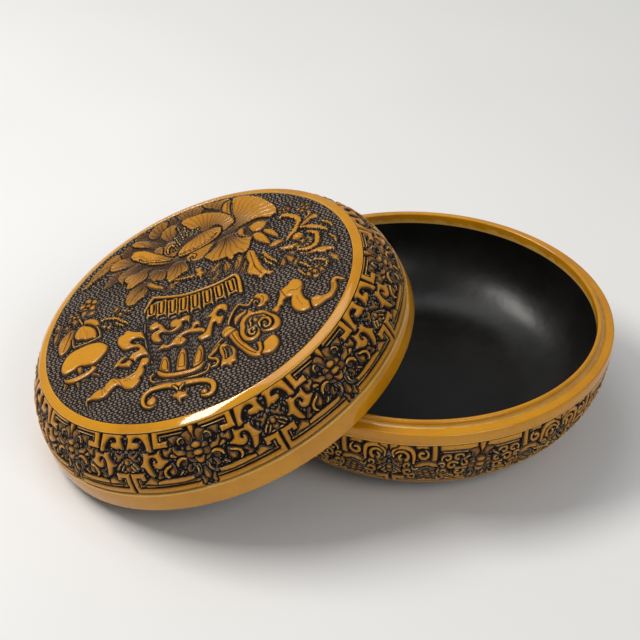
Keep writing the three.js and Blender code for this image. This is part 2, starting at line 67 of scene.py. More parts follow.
# Lid: radii from its own axis and heights over its mouth, and where the mouth's middle leans
LID_CENTRE = np.array([-54.5495, 0.0, 40.4895])
LID_LEAN = math.radians(21.78490477)
LID_INNER, LID_RIM_HEIGHT, LID_RING_DEPTH = 103.4, 10.4, 6.0
SHOULDER_CENTRE, SHOULDER_REACH = (78.2, 11.0), (31.6, 39.187)
SHOULDER_START, SHOULDER_END = math.radians(-0.44), math.radians(55.0)
CEILING_CENTRE, CEILING_REACH, CEILING_TOP = (78.0, 14.0), (25.4, 20.5), 34.5
TOP_RING_INNER, TOP_RING_OUTER = 90.63, 95.83
TOP_RING_EDGE, TOP_RING_CREST, TOP_RING_SEAT = 43.4, 45.4, 40.2
PANEL_RADIUS, PANEL_EDGE, PANEL_DOME, PANEL_SEAT = 90.3, 46.8, 0.6, 40.25
PANEL_SHIFT, DRAWN_OUT_FROM, DRAWN_OUT = (0.45, -4.5), 62.0, 1.17

# Carving: PITCH is the spacing of the drawings' cells. Levels, GROOVE_DEPTH and BACK_ROUNDING
# are shares of the carving's depth, and the rest is in millimetres
PITCH = 0.14
WALL_WIDTH = 0.45
GROOVE_WIDTH, GROOVE_DEPTH = 0.6, 0.7
CROWN_WIDTH = 1.9
BACK_ROUNDING = 0.175
SURROUNDINGS_WIDTH = 1.0
COAT = 2.6
LOWER_SKIN_SINK = 0.35
PANEL_DEPTH, LID_BAND_DEPTH, BASE_BAND_DEPTH = 1.9, 1.8, 1.8
DASH_ROW, DASH_LENGTH, DASH_LEVEL = 1.9, 2.5, 0.31
RIDGE_LEVEL = 0.34

# Bands: lengths along the skin from the plain rim, and drawings half a repeat wide
BASE_PATTERN_END, BASE_BORDER_END = 43.6, 50.0
PLAIN_STRIP = 1.3
LID_REPEATS, BASE_REPEATS = 8, 7
LID_FLOWER_ANGLE, BASE_FLOWER_ANGLE = -101.4, -86.2
BAND_RADIUS = 108.0
LID_HALF = math.pi / LID_REPEATS * BAND_RADIUS
BASE_HALF = math.pi / BASE_REPEATS * BAND_RADIUS
BAND_HEIGHT = 36.2

# Points along the edges of the carved grids
BAND_COLUMNS, LID_BAND_ROWS, BASE_BAND_ROWS, BACK_ROWS = 250, 106, 150, 12
PANEL_GRID = 291
LOWER_SKIN_ROWS = 16


# Curves

def smooth_line(points, steps=6, closed=False):
    """Catmull-Rom curve: between two points it is the cubic whose slope at each is half
    the line joining that point's neighbours."""
    p = np.asarray(points, float)
    if closed:
        p = np.vstack([p[-1:], p, p[:2]])
    else:
        p = np.vstack([2 * p[:1] - p[1:2], p, 2 * p[-1:] - p[-2:-1]])
    t = np.linspace(0, 1, steps, endpoint=False)[None, :, None]
    a, b, c, d = (p[k:len(p) - 3 + k, None] for k in range(4))
    curve = 0.5 * (2 * b + (c - a) * t + (2 * a - 5 * b + 4 * c - d) * t ** 2
                   + (3 * b - a - 3 * c + d) * t ** 3)
    curve = curve.reshape(-1, p.shape[1])
    return curve if closed else np.vstack([curve, p[-2:-1]])


def ease(value):
    """0 below 0, 1 above 1, and the smooth cubic 3v^2 - 2v^3 between."""
    v = np.clip(value, 0, 1)
    return v * v * (3 - 2 * v)


def arc(centre, reach, start, end, steps):
    """Points of an ellipse arc: centre + reach * (cos, sin) of an angle that runs evenly."""
    a = np.linspace(start, end, steps)
    return np.stack([centre[0] + reach[0] * np.cos(a), centre[1] + reach[1] * np.sin(a)], 1)


def ring_of(centre, reach, count=20):
    """A closed ellipse of count points."""
    return arc(centre, reach, 0, 2 * math.pi, count + 1)[:-1]


# Drawing a carving as heights

class Carving:
    """Heights over a flat drawing: 0 is the cut ground and 1 the untouched face of the lacquer."""

    def __init__(self, left, right, low, high):
        self.x = np.arange(left, right + PITCH, PITCH, dtype=np.float32)
        self.y = np.arange(low, high + PITCH, PITCH, dtype=np.float32)
        self.height = np.zeros((len(self.y), len(self.x)), np.float32)
        self.ragged = 0.0

    def uneven(self, distance, x, y):
        """The distance moved in and out by up to ragged, by a product of two bent waves, so
        that leaves and petals get uneven edges."""
        return distance + (self.ragged * np.sin(x * 2.3 + 1.4 * np.sin(y * 1.5))
                           * np.cos(y * 2.1 + 1.2 * np.sin(x * 1.7)))

    def window(self, points, reach):
        """The part of the drawing within reach of the points."""
        low, high = points.min(0) - reach, points.max(0) + reach
        cols = slice(*np.searchsorted(self.x, (low[0], high[0])))
        rows = slice(*np.searchsorted(self.y, (low[1], high[1])))
        x, y = np.meshgrid(self.x[cols], self.y[rows])
        return (rows, cols), x, y

    def lay(self, where, distance, face):
        """Sets a face where distance is below 0, with a steep wall at its edge and a fine
        groove cut round it into whatever lies beside it."""
        old = self.height[where]
        groove = GROOVE_DEPTH * np.exp(-(np.maximum(distance, 0) / GROOVE_WIDTH) ** 2)
        cut = np.maximum(old - groove, np.minimum(old, 0.0))
        inside = ease(0.5 - distance / WALL_WIDTH)
        self.height[where] = cut * (1 - inside) + face * inside

    def shape(self, outline, level=0.95, crown=0.18, rim=0.0, sink=0.3, base=None,
              fall=0.0, reach=7.0, veins=0, vein_depth=0.07, steps=5, smooth=True):
        """A leaf, petal or plate. Inside the outline the face is level, rounded down by
        crown near the edge, sunk by sink inside a rim of that width, lowered by fall within
        reach of its base point, and scored by veins that spread from that point."""
        line = smooth_line(outline, steps, True) if smooth else np.asarray(outline, float)
        where, x, y = self.window(line, 2.0)
        distance = self.uneven(outline_distance(x, y, line), x, y)
        inward = np.maximum(-distance, 0)
        face = level - 1.6 * crown * (1 - np.clip(inward / CROWN_WIDTH, 0, 1)) ** 2
        if rim:
            face = face - sink * ease((inward - 0.5 * rim) / rim)
        if base is not None:
            away = np.hypot(x - base[0], y - base[1])
            face = face - fall * np.exp(-(away / reach) ** 2)
            if veins:
                turn = np.arctan2(y - base[1], x - base[0])
                wander = 0.9 * np.sin(0.5 * away) + 0.6 * np.sin(turn * 7.0)
                line_mark = np.clip(np.cos(turn * veins + wander), 0, 1) ** 5
                face = face - vein_depth * line_mark * ease(inward / 1.2)
        self.lay(where, distance, face)

    def stroke(self, points, widths, level=0.95, steps=6):
        """A ribbon of varying width along a curve, with a round back: the face falls from
        the middle to the edges by BACK_ROUNDING times the square of the share across."""
        table = np.column_stack([np.asarray(points, float), np.broadcast_to(
            np.asarray(widths, float), len(points))])
        line = smooth_line(table, steps)
        where, x, y = self.window(line[:, :2], line[:, 2].max() + 1.5)
        distance, half = line_distance(x, y, line)
        distance = self.uneven(distance, x, y)
        share = np.clip(1 + distance / np.maximum(half, 0.05), 0, 1)
        self.lay(where, distance, level - BACK_ROUNDING * share ** 2)

    def curl(self, centre, radius, start, turns, width=1.3, level=0.85):
        """A spiral ridge: the radius shrinks to a third while the angle, in degrees from
        start, runs through that many full turns."""
        t = np.linspace(0, 1, 12)
        a = math.radians(start) + 2 * math.pi * turns * t
        r = radius * (1.1 - 0.75 * t)
        points = np.stack([centre[0] + r * np.cos(a), centre[1] + r * np.sin(a)], 1)
        self.stroke(points, width * (0.4 + 0.8 * np.sin(math.pi * (0.05 + 0.85 * t))), level)

    def score(self, points, width=0.5, depth=0.35, closed=False):
        """A cut line: a round groove of that width and depth along a curve."""
        line = smooth_line(points, closed=closed)
        if closed:
            line = np.vstack([line, line[:1]])
        line = np.column_stack([line, np.zeros(len(line))])
        where, x, y = self.window(line[:, :2], width * 2)
        away = line_distance(x, y, line)[0]
        cut = depth * np.exp(-(away / (0.6 * width)) ** 2)
        old = self.height[where]
        self.height[where] = np.maximum(old - cut, np.minimum(old, 0.0))

    def height_over_surroundings(self):
        """How far each place stands above or below the mean height of its surroundings."""
        return self.height - blur(self.height, SURROUNDINGS_WIDTH)

    def sample(self, field, x, y):
        """A field over the drawing, such as its heights, by bilinear interpolation."""
        col = np.clip((x - self.x[0]) / PITCH, 0, len(self.x) - 1.001)
        row = np.clip((y - self.y[0]) / PITCH, 0, len(self.y) - 1.001)
        c, r = col.astype(int), row.astype(int)
        fc, fr = col - c, row - r
        low = field[r, c] * (1 - fc) + field[r, c + 1] * fc
        high = field[r + 1, c] * (1 - fc) + field[r + 1, c + 1] * fc
        return low * (1 - fr) + high * fr


def outline_distance(x, y, line):
    """Signed distance to a closed outline, below 0 inside: the least distance to a side,
    with its sign from the number of sides that a ray to the right crosses."""
    a, b = line, np.roll(line, -1, 0)
    best = np.full(x.shape, 1e9, np.float32)
    inside = np.zeros(x.shape, bool)
    for (ax, ay), (bx, by) in zip(a.tolist(), b.tolist()):
        dx, dy = bx - ax, by - ay
        t = np.clip(((x - ax) * dx + (y - ay) * dy) / max(dx * dx + dy * dy, 1e-12), 0, 1)
        best = np.minimum(best, (x - ax - t * dx) ** 2 + (y - ay - t * dy) ** 2)
        if ay != by:
            crosses = (ay > y) != (by > y)
            inside ^= crosses & (x < ax + dx * (y - ay) / dy)
    return np.where(inside, -np.sqrt(best), np.sqrt(best))


def line_distance(x, y, line):
    """Distance to the edge of a ribbon, below 0 inside, and its half width there. The
    third column of line is the ribbon's width."""
    best = np.full(x.shape, 1e9, np.float32)
    half = np.zeros(x.shape, np.float32)
    for (ax, ay, aw), (bx, by, bw) in zip(line[:-1].tolist(), line[1:].tolist()):
        dx, dy = bx - ax, by - ay
        t = np.clip(((x - ax) * dx + (y - ay) * dy) / max(dx * dx + dy * dy, 1e-12), 0, 1)
        width = 0.5 * (aw + (bw - aw) * t)
        edge = np.hypot(x - ax - t * dx, y - ay - t * dy) - width
        nearer = edge < best
        best = np.where(nearer, edge, best)
        half = np.where(nearer, width, half)
    return best, half


def blur(field, width):
    """Mean of a field over a square of that width, done twice."""
    n = max(int(round(width / PITCH / 2)), 1)
    for _ in range(2):
        for axis in (0, 1):
            pad = [(n + 1, n) if k == axis else (0, 0) for k in (0, 1)]
            total = np.cumsum(np.pad(field, pad, mode="edge"), axis=axis, dtype=np.float64)
            size = field.shape[axis]
            upper = np.take(total, np.arange(2 * n + 1, 2 * n + 1 + size), axis=axis)
            lower = np.take(total, np.arange(size), axis=axis)
            field = ((upper - lower) / (2 * n + 1)).astype(np.float32)
    return field


# The side band: half of one repeat, from a flower's middle to the next seam

def squiggle_ground(c):
    """Low worm-like ridges over the band's ground: the upper part of a wave whose phase is
    bent by two slower waves, broken by a third."""
    x, y = np.meshgrid(c.x, c.y)
    bend = 1.9 * np.sin(x * 0.95 + 0.8 * np.sin(y * 1.1)) + 1.7 * np.sin(y * 1.15 + x * 0.4)
    ridge = ease(1.3 * np.cos(x * 1.5 + y * 0.9 + bend) + 0.1)
    breaks = 0.55 + 0.45 * np.sin(x * 2.3 - y * 1.7 + 1.4 * np.sin(y * 0.8))
    c.height += (RIDGE_LEVEL * ridge * breaks).astype(np.float32)


def carve_flower(c):
    """Flower on the repeat's axis: three stacked ovals, side petals, buds above and below."""
    c.shape([
        (-1.2, 32), (-1.9, 36.8), (-1.9, 40), (1.9, 40), (1.9, 36.8), (1.2, 32), (0.6, 29.5),
        (-0.6, 29.5)], 0.96, 0.25)
    c.shape([
        (0.9, 31.4), (2.6, 33.6), (5.2, 33.5), (6.8, 32.3), (5.3, 30.6), (4.8, 28.8), (4.2, 26.8),
        (2.7, 26.6), (1.4, 28.4)], 0.9, 0.2, base=(2.8, 26.4), fall=0.35, veins=9)
    c.shape([
        (1.8, 15), (3.2, 16.4), (5.1, 16.5), (4.6, 14), (4.4, 11.6), (6.5, 9.6), (6.2, 8.7), (4.6, 9),
        (2.9, 10.4), (1.9, 12.4)], 0.88, 0.2, base=(3.6, 16.5), fall=0.35)
    c.stroke([(3.4, 15), (3.2, 12.8), (4.4, 10.4)], (0.5, 0.8, 0.3), 0.98)
    c.shape([
        (0, 13.4), (1.3, 10.5), (1.7, 8.2), (0.9, 6.6), (-0.9, 6.6), (-1.7, 8.2), (-1.3, 10.5)], 0.86,
        0.3)
    c.shape([(2.6, 3.4), (1.5, 5.2), (2.2, 7), (3.7, 8.3), (3.7, 6), (3.9, 4)], 0.84, 0.2)
    c.shape([(2.6, 17.4), (3.8, 18.7), (6, 19.4), (5.2, 18), (3.6, 17)], 0.8, 0.2)
    c.shape(ring_of((3.9, 24.9), (1.9, 1.4)), 0.84, 0.3)
    c.shape(ring_of((4.4, 21.5), (2.1, 1.7)), 0.9, 0.3, rim=0.7, sink=0.2)
    c.shape(ring_of((0, 26), (2.6, 1.7)), 0.97, 0.3)
    c.shape([
        (-2.3, 19.6), (0, 19), (2.3, 19.6), (2.2, 17.8), (1.3, 16.4), (0, 16), (-1.3, 16.4),
        (-2.2, 17.8)], 0.97, 0.3)
    c.shape(ring_of((0, 21.9), (2.7, 1.6)), 1, 0.35)


def carve_lid_frame(c):
    """The straight key frames: bars along the foot, a hook beside each seam, and the
    frame over the flower."""
    half = LID_HALF
    c.shape([
        (3.6, 2.4), (half - 0.7, 2.4), (half - 0.7, 15), (33.8, 15), (33.8, 10.8), (36.2, 10.8),
        (36.2, 12.3), (39, 12.3), (39, 5.5), (4.2, 5.5)], 0.97, 0.12, smooth=False)
    c.stroke([(5, 6.7), (20, 6.75), (37.2, 6.9), (37.9, 7.4), (38, 11)], 0.75, 0.72, steps=3)
    c.shape([
        (5, 35.2), (20.6, 35.2), (20.6, 31), (15.9, 31), (15.9, 28), (24.1, 28), (24.1, 40),
        (5, 40)], 0.97, 0.12, smooth=False)
    c.stroke([(6.2, 33.9), (13, 33.9), (19.3, 33.8), (19.6, 33.4), (19.6, 31.6)], 0.7, 0.72, steps=3)


def carve_seam_hook(c):
    """The n-shaped curl beside the seam: a stem, an arch and a curl that turns inwards."""
    c.shape([
        (25.2, 26.7), (28.3, 27), (28.6, 29.6), (29.9, 32.1), (31.8, 33.9), (34.3, 34.5),
        (36.2, 33.8), (36.7, 32.2), (35.3, 31.9), (33.6, 31.7), (32.8, 30.5), (33.6, 29.2),
        (35.6, 28.7), (37.3, 28.2), (38.6, 28.7), (41, 28.1), (40.9, 29.8), (40.2, 32), (40.1, 34),
        (41.2, 35), (40.5, 37), (40.6, 40), (38.6, 40), (36.6, 36.9), (33.6, 38.6), (30.6, 37),
        (28.4, 38.6), (26.6, 40), (26.3, 36), (25.7, 31)], 0.96, 0.22, steps=4)
    c.score([(30, 31.4), (31.8, 33.2), (34.4, 33.6), (36.6, 32.6)], 0.4, 0.25)


def carve_scrolls(c):
    """The big barbed scroll, the small scroll, and the leaves between them."""
    c.shape([
        (27.6, 13.2), (28.8, 12.9), (30.6, 14.3), (31.8, 16.8), (32.4, 18.2), (34.6, 19),
        (33.2, 20.4), (32, 22), (31.3, 24), (31.1, 26.3), (29.6, 26.1), (28.2, 26.3),
        (27.3, 25.2), (24.6, 25.2), (22.6, 26), (21.4, 27.1), (20.9, 24.9), (20.2, 22.4),
        (17.3, 20.8), (19.4, 19.2), (21.3, 17.8), (23.6, 17), (25.9, 18), (26.7, 19.9),
        (26.1, 21.5), (25, 21.9), (24.9, 20.8), (24.2, 20.6), (23.7, 21.6), (24.4, 23.2),
        (26.1, 23.7), (27.7, 23), (28.5, 21.4), (28.5, 19), (28.2, 16.6)], 0.96, 0.22, steps=4)
    c.stroke([
        (15.4, 18.9), (16.6, 17.8), (18.9, 17), (20.9, 15.3), (21, 12.9), (19.6, 11.2)],
        (0.6, 1.4, 1.5, 1.6, 1.4, 0.5), 0.93)
    c.shape([
        (15.3, 18.6), (16.3, 16.8), (18.2, 15.6), (18.7, 13.9), (17.2, 12.2), (15.4, 13.4),
        (14.9, 15.6)], 0.82, 0.3)
    c.shape([
        (22.6, 15.2), (24.5, 15.5), (25.4, 13.8), (26.6, 11.9), (25.6, 10.9), (23.6, 11.6),
        (24.3, 13.2)], 0.84, 0.25)
    c.shape([
        (26, 9.6), (28.2, 10.6), (30.2, 12.1), (32.4, 11.1), (34.4, 9.4), (35.8, 7.7), (33.6, 8.3),
        (30, 7.9), (26, 7.8)], 0.92, 0.25)
    c.stroke([
        (6.9, 9.3), (12, 9), (18, 9.1), (22.4, 9.3), (26.4, 9)], (1.6, 2.3, 2.5, 2.4, 1.6), 0.95)
    c.shape([
        (14, 26.8), (15.4, 27.1), (16.5, 26.3), (17.7, 26.7), (19.1, 27.1), (19.3, 25.2),
        (18.9, 23.5), (17.5, 22.9), (16.3, 24), (13.9, 25.4)], 0.84, 0.25)


def carve_flower_leaves(c):
    """The small leaves and curls beside the flower."""
    c.shape([
        (6.7, 22.9), (8.2, 24.4), (10.4, 24.7), (12, 25.8), (13, 27.3), (13.4, 25.5), (12.5, 23.6),
        (11.2, 22.3), (8.6, 21.8), (7, 21.9)], 0.88, 0.25)
    c.shape([(11.9, 21.9), (13, 23.4), (14.9, 23.8), (15.3, 22.5), (13.6, 21.8)], 0.9, 0.15)
    c.shape([
        (7.7, 31.4), (9.6, 32.4), (12, 32.8), (14.7, 32.2), (14.2, 30.4), (13, 28.8), (11.9, 29.4),
        (10.4, 30.8)], 0.88, 0.22, base=(8, 31.4), fall=0.2, veins=12)
    c.stroke([(6, 30.6), (7.6, 31), (9.2, 29.9), (9.2, 28.2)], (0.5, 1.2, 1.3, 0.6), 0.84)
    c.shape(ring_of((7.2, 28.9), (1.1, 1)), 0.7, 0.3)
    c.stroke([
        (6.9, 19.9), (8.6, 20.5), (10.6, 20), (12.2, 18.6), (12.7, 16.9)], (0.8, 1.7, 1.9, 1.7, 0.6),
        0.92)
    c.shape([(7.4, 18.9), (9, 18.9), (10.4, 17.9), (10.2, 16.4), (8.4, 16.4)], 0.7, 0.3)
    c.shape([(6.2, 16.2), (7.6, 15.9), (8.8, 14.4), (8.6, 12.4), (6.3, 12.3), (7.1, 13.8)], 0.88, 0.3)
    c.stroke([(11.8, 13.3), (13.6, 11.6)], (1, 0.5), 0.75)


def carve_seam_fan(c, seam):
    """The small half fan that stands over the seam hooks, mirrored at the seam."""
    def at(points):
        return np.array(points) + (seam - LID_HALF, 0)
    c.stroke(at([(37.6, 16.1), (44, 16.1)]), 0.8, 0.8, steps=2)
    for points in ([(38.2, 16.9), (39.9, 19.2)], [(38.0, 19.3), (39.2, 20.8), (40.6, 22.4)],
                   [(36.2, 17.6), (37.0, 19.2), (38.3, 20.4)]):
        c.stroke(at(points), 0.9, 0.8)
    c.shape(at(ring_of((42.7, 17.8), (2, 1.6))), 0.85, 0.3)
    c.shape(at(ring_of((42.5, 21.3), (1.8, 1.9))), 0.92, 0.35)
    c.shape(at([(35.1, 27.3), (36, 25.7), (38.4, 24.9), (39.5, 26.1), (40.8, 26),
                (40.4, 24.2), (38.7, 23.1), (37.5, 21.8), (35.4, 21.7), (36.7, 23.5),
                (35.2, 25.2)]), 0.86, 0.25)


def carve_base_frame(c):
    """The base's straight pieces: the bar under the wall, the block at its end, the hook
    beside the seam, and the bars along the foot."""
    half = BASE_HALF
    c.shape([(2.6, 33.6), (22.2, 33.6), (22.2, 39), (2.6, 39)], 0.97, 0.14, smooth=False)
    c.stroke([(4.4, 32.2), (12, 32.3), (20.6, 32.2)], 0.8, 0.7, steps=3)
    c.shape([(23.4, 27.4), (26.4, 27), (26.2, 39), (23.6, 39)], 0.95, 0.16, smooth=False)
    c.shape([
        (3.6, 2), (half - 0.7, 2), (half - 0.7, 12.6), (40.6, 12.6), (40.6, 9), (45.2, 9),
        (45.2, 5), (4.2, 5)], 0.95, 0.14, smooth=False)
    c.stroke([(5, 6.5), (20, 6.5), (36, 6.6), (43.6, 6.8)], 0.8, 0.7, steps=3)
    c.shape([
        (28, 32.6), (28.8, 38.6), (33.9, 38.6), (34.6, 35.2), (33, 34.4), (31, 34.9),
        (29.6, 33.4)], 0.9, 0.25)
    c.curl((31.1, 31.2), 2.9, 120, 1.0, 1.6, 0.93)
    c.stroke([
        (35.9, 25.8), (35.8, 30.6), (37, 34), (40.6, 35.3), (44.2, 34.7), (46.2, 32.2),
        (46, 29.2)], (1.4, 2.2, 2.5, 2.5, 2.3, 1.8, 0.9), 0.96)
    c.shape([(43.6, 38.6), (43.9, 35.6), (46.4, 34.4), (47.8, 33.4), (47.9, 38.6)], 0.95, 0.2)
    c.curl((41.6, 29.4), 3.6, 30, 1.05, 1.7, 0.92)
    c.shape([
        (22.6, 23), (24.2, 25.7), (28.2, 26.6), (32.6, 25.9), (35.4, 22.8), (32.2, 22.6),
        (28.8, 23.8), (25.6, 22.6)], 0.93, 0.25)


def carve_base_curls(c):
    """The base's open oval flower and the curls round it."""
    c.shape(ring_of((28.2, 15.8), (6.8, 5.4)), 0.84, 0.25, rim=1, sink=0.4)
    for k in range(6):
        a = math.pi * k / 3 + 0.3
        middle = (28.2 + 3.7 * math.cos(a), 15.8 + 2.9 * math.sin(a))
        c.shape(ring_of(middle, (1.7, 1.5), 10), 0.84, 0.3)
    c.shape(ring_of((28.2, 15.8), (1.6, 1.4), 10), 0.95, 0.3)
    for x, y, r, start, turns, width in (
            (12.4, 28.8, 2.7, 200, -0.85, 1.4), (18.2, 28.4, 2.7, 330, 0.9, 1.4),
            (9.2, 24.2, 2.1, 60, 0.8, 1.3), (15, 23.2, 2.9, 150, -0.95, 1.6),
            (20.6, 23.6, 2, 20, 0.8, 1.2), (19.6, 18, 2.7, 240, 0.9, 1.5),
            (11.4, 17.6, 3, 100, 0.95, 1.6), (15.8, 12.8, 2.6, 300, -0.85, 1.4),
            (21.4, 11.2, 2.3, 80, 0.85, 1.3), (10, 11.6, 2.4, 180, 0.8, 1.4),
            (36.2, 12.4, 2.6, 120, -0.9, 1.4), (38.3, 18.2, 3, 210, 0.95, 1.6),
            (38.8, 23.7, 1.9, 300, 0.8, 1.2), (33, 29.3, 1.6, 10, 0.8, 1.1),
            (29, 9, 1.7, 200, 0.8, 1.1)):
        c.curl((x, y), r, start, turns, width, 0.86)
    for points in ([(6.6, 29.4), (8.6, 28.0), (9.6, 26.9)], [(22.0, 20.6), (23.0, 18.6), (22.2, 15.6)],
                   [(33.0, 21.4), (35.2, 20.6), (36.4, 22.2)], [(6.4, 21.0), (8.6, 20.6), (13.4, 20.6)],
                   [(16.8, 16.0), (18.4, 14.6), (21.4, 14.4)], [(25.2, 9.0), (26.6, 8.2), (32.4, 8.3)]):
        c.stroke(points, (0.6, 1.5, 0.6), 0.82)


def lid_band_carving():
    """The lid's key frames, seam hooks and scrolls, with the flower and the seam fan."""
    c = Carving(-1, LID_HALF + 1.5, 0, BAND_HEIGHT + 1)
    squiggle_ground(c)
    carve_lid_frame(c)
    carve_seam_hook(c)
    carve_scrolls(c)
    carve_flower_leaves(c)
    carve_seam_fan(c, LID_HALF)
    carve_flower(c)
    return c


def base_band_carving():
    """The base's own bars and curls, with the same flower and seam fan as the lid."""
    c = Carving(-1, BASE_HALF + 1.5, 0, BAND_HEIGHT + 1)
    squiggle_ground(c)
    carve_base_curls(c)
    carve_base_frame(c)
    carve_seam_fan(c, BASE_HALF)
    carve_flower(c)
    return c


# The lid's round panel: a vase of peonies among auspicious things, on a woven ground

def woven_ground(c):
    """Small raised dashes in rows, each row half a dash on from the last: the product of two
    eased cosines, one along and one across the row. Slow sines bend the rows, slide them
    against each other and make single dashes and whole patches lower."""
    x, y = np.meshgrid(c.x, c.y)
    y = y + 0.12 * x + 0.5 * np.sin(x * 0.06) + 0.10 * np.sin(x * 0.9 + y * 0.4)
    row = np.floor(y / DASH_ROW)
    wave = 0.3 * np.sin(x * 0.31 + y * 0.17) + 0.7 * np.sin(row * 2.3) * np.sin(x * 0.21 + row)
    dash = np.cos((x + wave) * 2 * math.pi / DASH_LENGTH + row * math.pi)
    across = np.cos((y / DASH_ROW - row - 0.5) * 2 * math.pi)
    uneven = 0.70 + 0.30 * np.sin(x * 1.7 + 2.1 * np.sin(y * 0.9)) * np.sin(y * 1.3)
    uneven = uneven * (0.86 + 0.14 * np.sin(x * 0.13 + 1.2) * np.sin(y * 0.17 + x * 0.05))
    level = DASH_LEVEL * ease(dash + 0.95) * ease(across + 0.80) * uneven
    c.height += level.astype(np.float32)


def carve_vase(c):
    """The vase: stippled body, cloud scrolls, standing lappets, foot, stand and fluted collar.
    The body is first laid over the weave to mark its place, which then takes the stipple: the
    product of two bent sines about a low level."""
    bare = c.height.copy()
    body = [(-31, 4), (-32.6, -8), (-32.4, -22), (-31.2, -34), (-30, -43), (-20, -52),
            (-6, -56), (0, -50), (4, -43), (10, -36), (17, -26), (22, -17), (25, -7), (10, 4)]
    c.shape(body, DASH_LEVEL + 0.02, 0.03)
    x, y = np.meshgrid(c.x, c.y)
    stipple = np.sin(x * 3.3 + 2 * np.sin(y * 1.9)) * np.sin(y * 3.6 + 1.5 * np.sin(x * 2.3))
    stipple = (0.07 + 0.15 * stipple).astype(np.float32)
    c.height[:] = np.where(c.height != bare, stipple, bare)
    c.stroke([(-31.2, 3), (-32.6, -8), (-32.6, -22), (-31.4, -32)], 0.8, 0.34)
    carve_clouds(c)
    carve_lappets(c)
    carve_collar(c)


def carve_clouds(c):
    """The three cloud scrolls on the vase's body, with the cuts that curl inside them."""
    c.shape([
        (-28.9, -5), (-28.9, -2.5), (-27, -0.6), (-23.9, -0.3), (-22.9, -2.5), (-21.4, -5),
        (-20.4, -8.8), (-18.9, -11.9), (-17, -13.1), (-14.5, -12.4), (-16.9, -11), (-17.3, -8.8),
        (-16.4, -6.3), (-13.3, -5.3), (-11.4, -6.9), (-8.3, -6.3), (-5.4, -7.5), (-5.4, -9.7),
        (-6.7, -12.5), (-7.9, -10.9), (-10.1, -10.3), (-10.8, -13.1), (-13.3, -15), (-17, -15.3),
        (-20.1, -13.1), (-22.6, -11.6), (-24.2, -12.6), (-23.9, -15.6), (-23.3, -17.8), (-25.1, -18.8),
        (-27.6, -16.9), (-28.9, -13.8), (-28.9, -10.6), (-27, -8.4), (-23.9, -8.1), (-24.4, -6.3),
        (-27.2, -6.2)], 0.92, 0.22)
    c.shape([
        (-26.7, -25), (-23.3, -21.9), (-20.1, -24.4), (-17, -21.9), (-13.9, -19.7), (-9.5, -18.8),
        (-6.4, -18.8), (-5.1, -15.6), (-2, -15), (-0.8, -16.3), (-1.4, -19.1), (-3.2, -18.3),
        (-4.4, -20.2), (-2.2, -21.3), (0.6, -23.8), (2.2, -27), (0.9, -28), (-2, -25.6), (-5.8, -23.4),
        (-8.9, -21.9), (-12, -22.2), (-10.8, -24.4), (-10.1, -26.9), (-12.6, -29.1), (-14.5, -28.8),
        (-17.6, -26.9), (-21.4, -26.9), (-23.9, -25.6)], 0.92, 0.22)
    c.shape([
        (2.7, -15.6), (5.5, -14.4), (8, -11.9), (10.5, -10), (13.6, -10.3), (15.8, -13.1),
        (15.2, -16.9), (13.6, -17.2), (11.8, -14.4), (9.9, -15), (8.9, -17.6), (10.5, -20),
        (12.4, -20.6), (11.8, -23.1), (9.9, -26.3), (8, -25.6), (7.4, -23.1), (6.1, -23.1),
        (4.9, -26.3), (3.9, -30), (3, -32.8), (-0.1, -33.1), (-2.9, -32.5), (-3.9, -29.1), (0, -28),
        (2, -25), (4.3, -20), (5.5, -17.5), (3.6, -16.6)], 0.94, 0.22)
    c.score([(-19.4, -14.4), (-22, -10.2), (-25.8, -10.6), (-26.8, -14.2)], 0.35, 0.2)
    c.score([(-14.6, -21.9), (-12.8, -23.4), (-13.6, -26.6)], 0.4, 0.35)
    c.score([(-16.4, -23.6), (-14.4, -24.2), (-15.6, -26.2)], 0.35, 0.2)


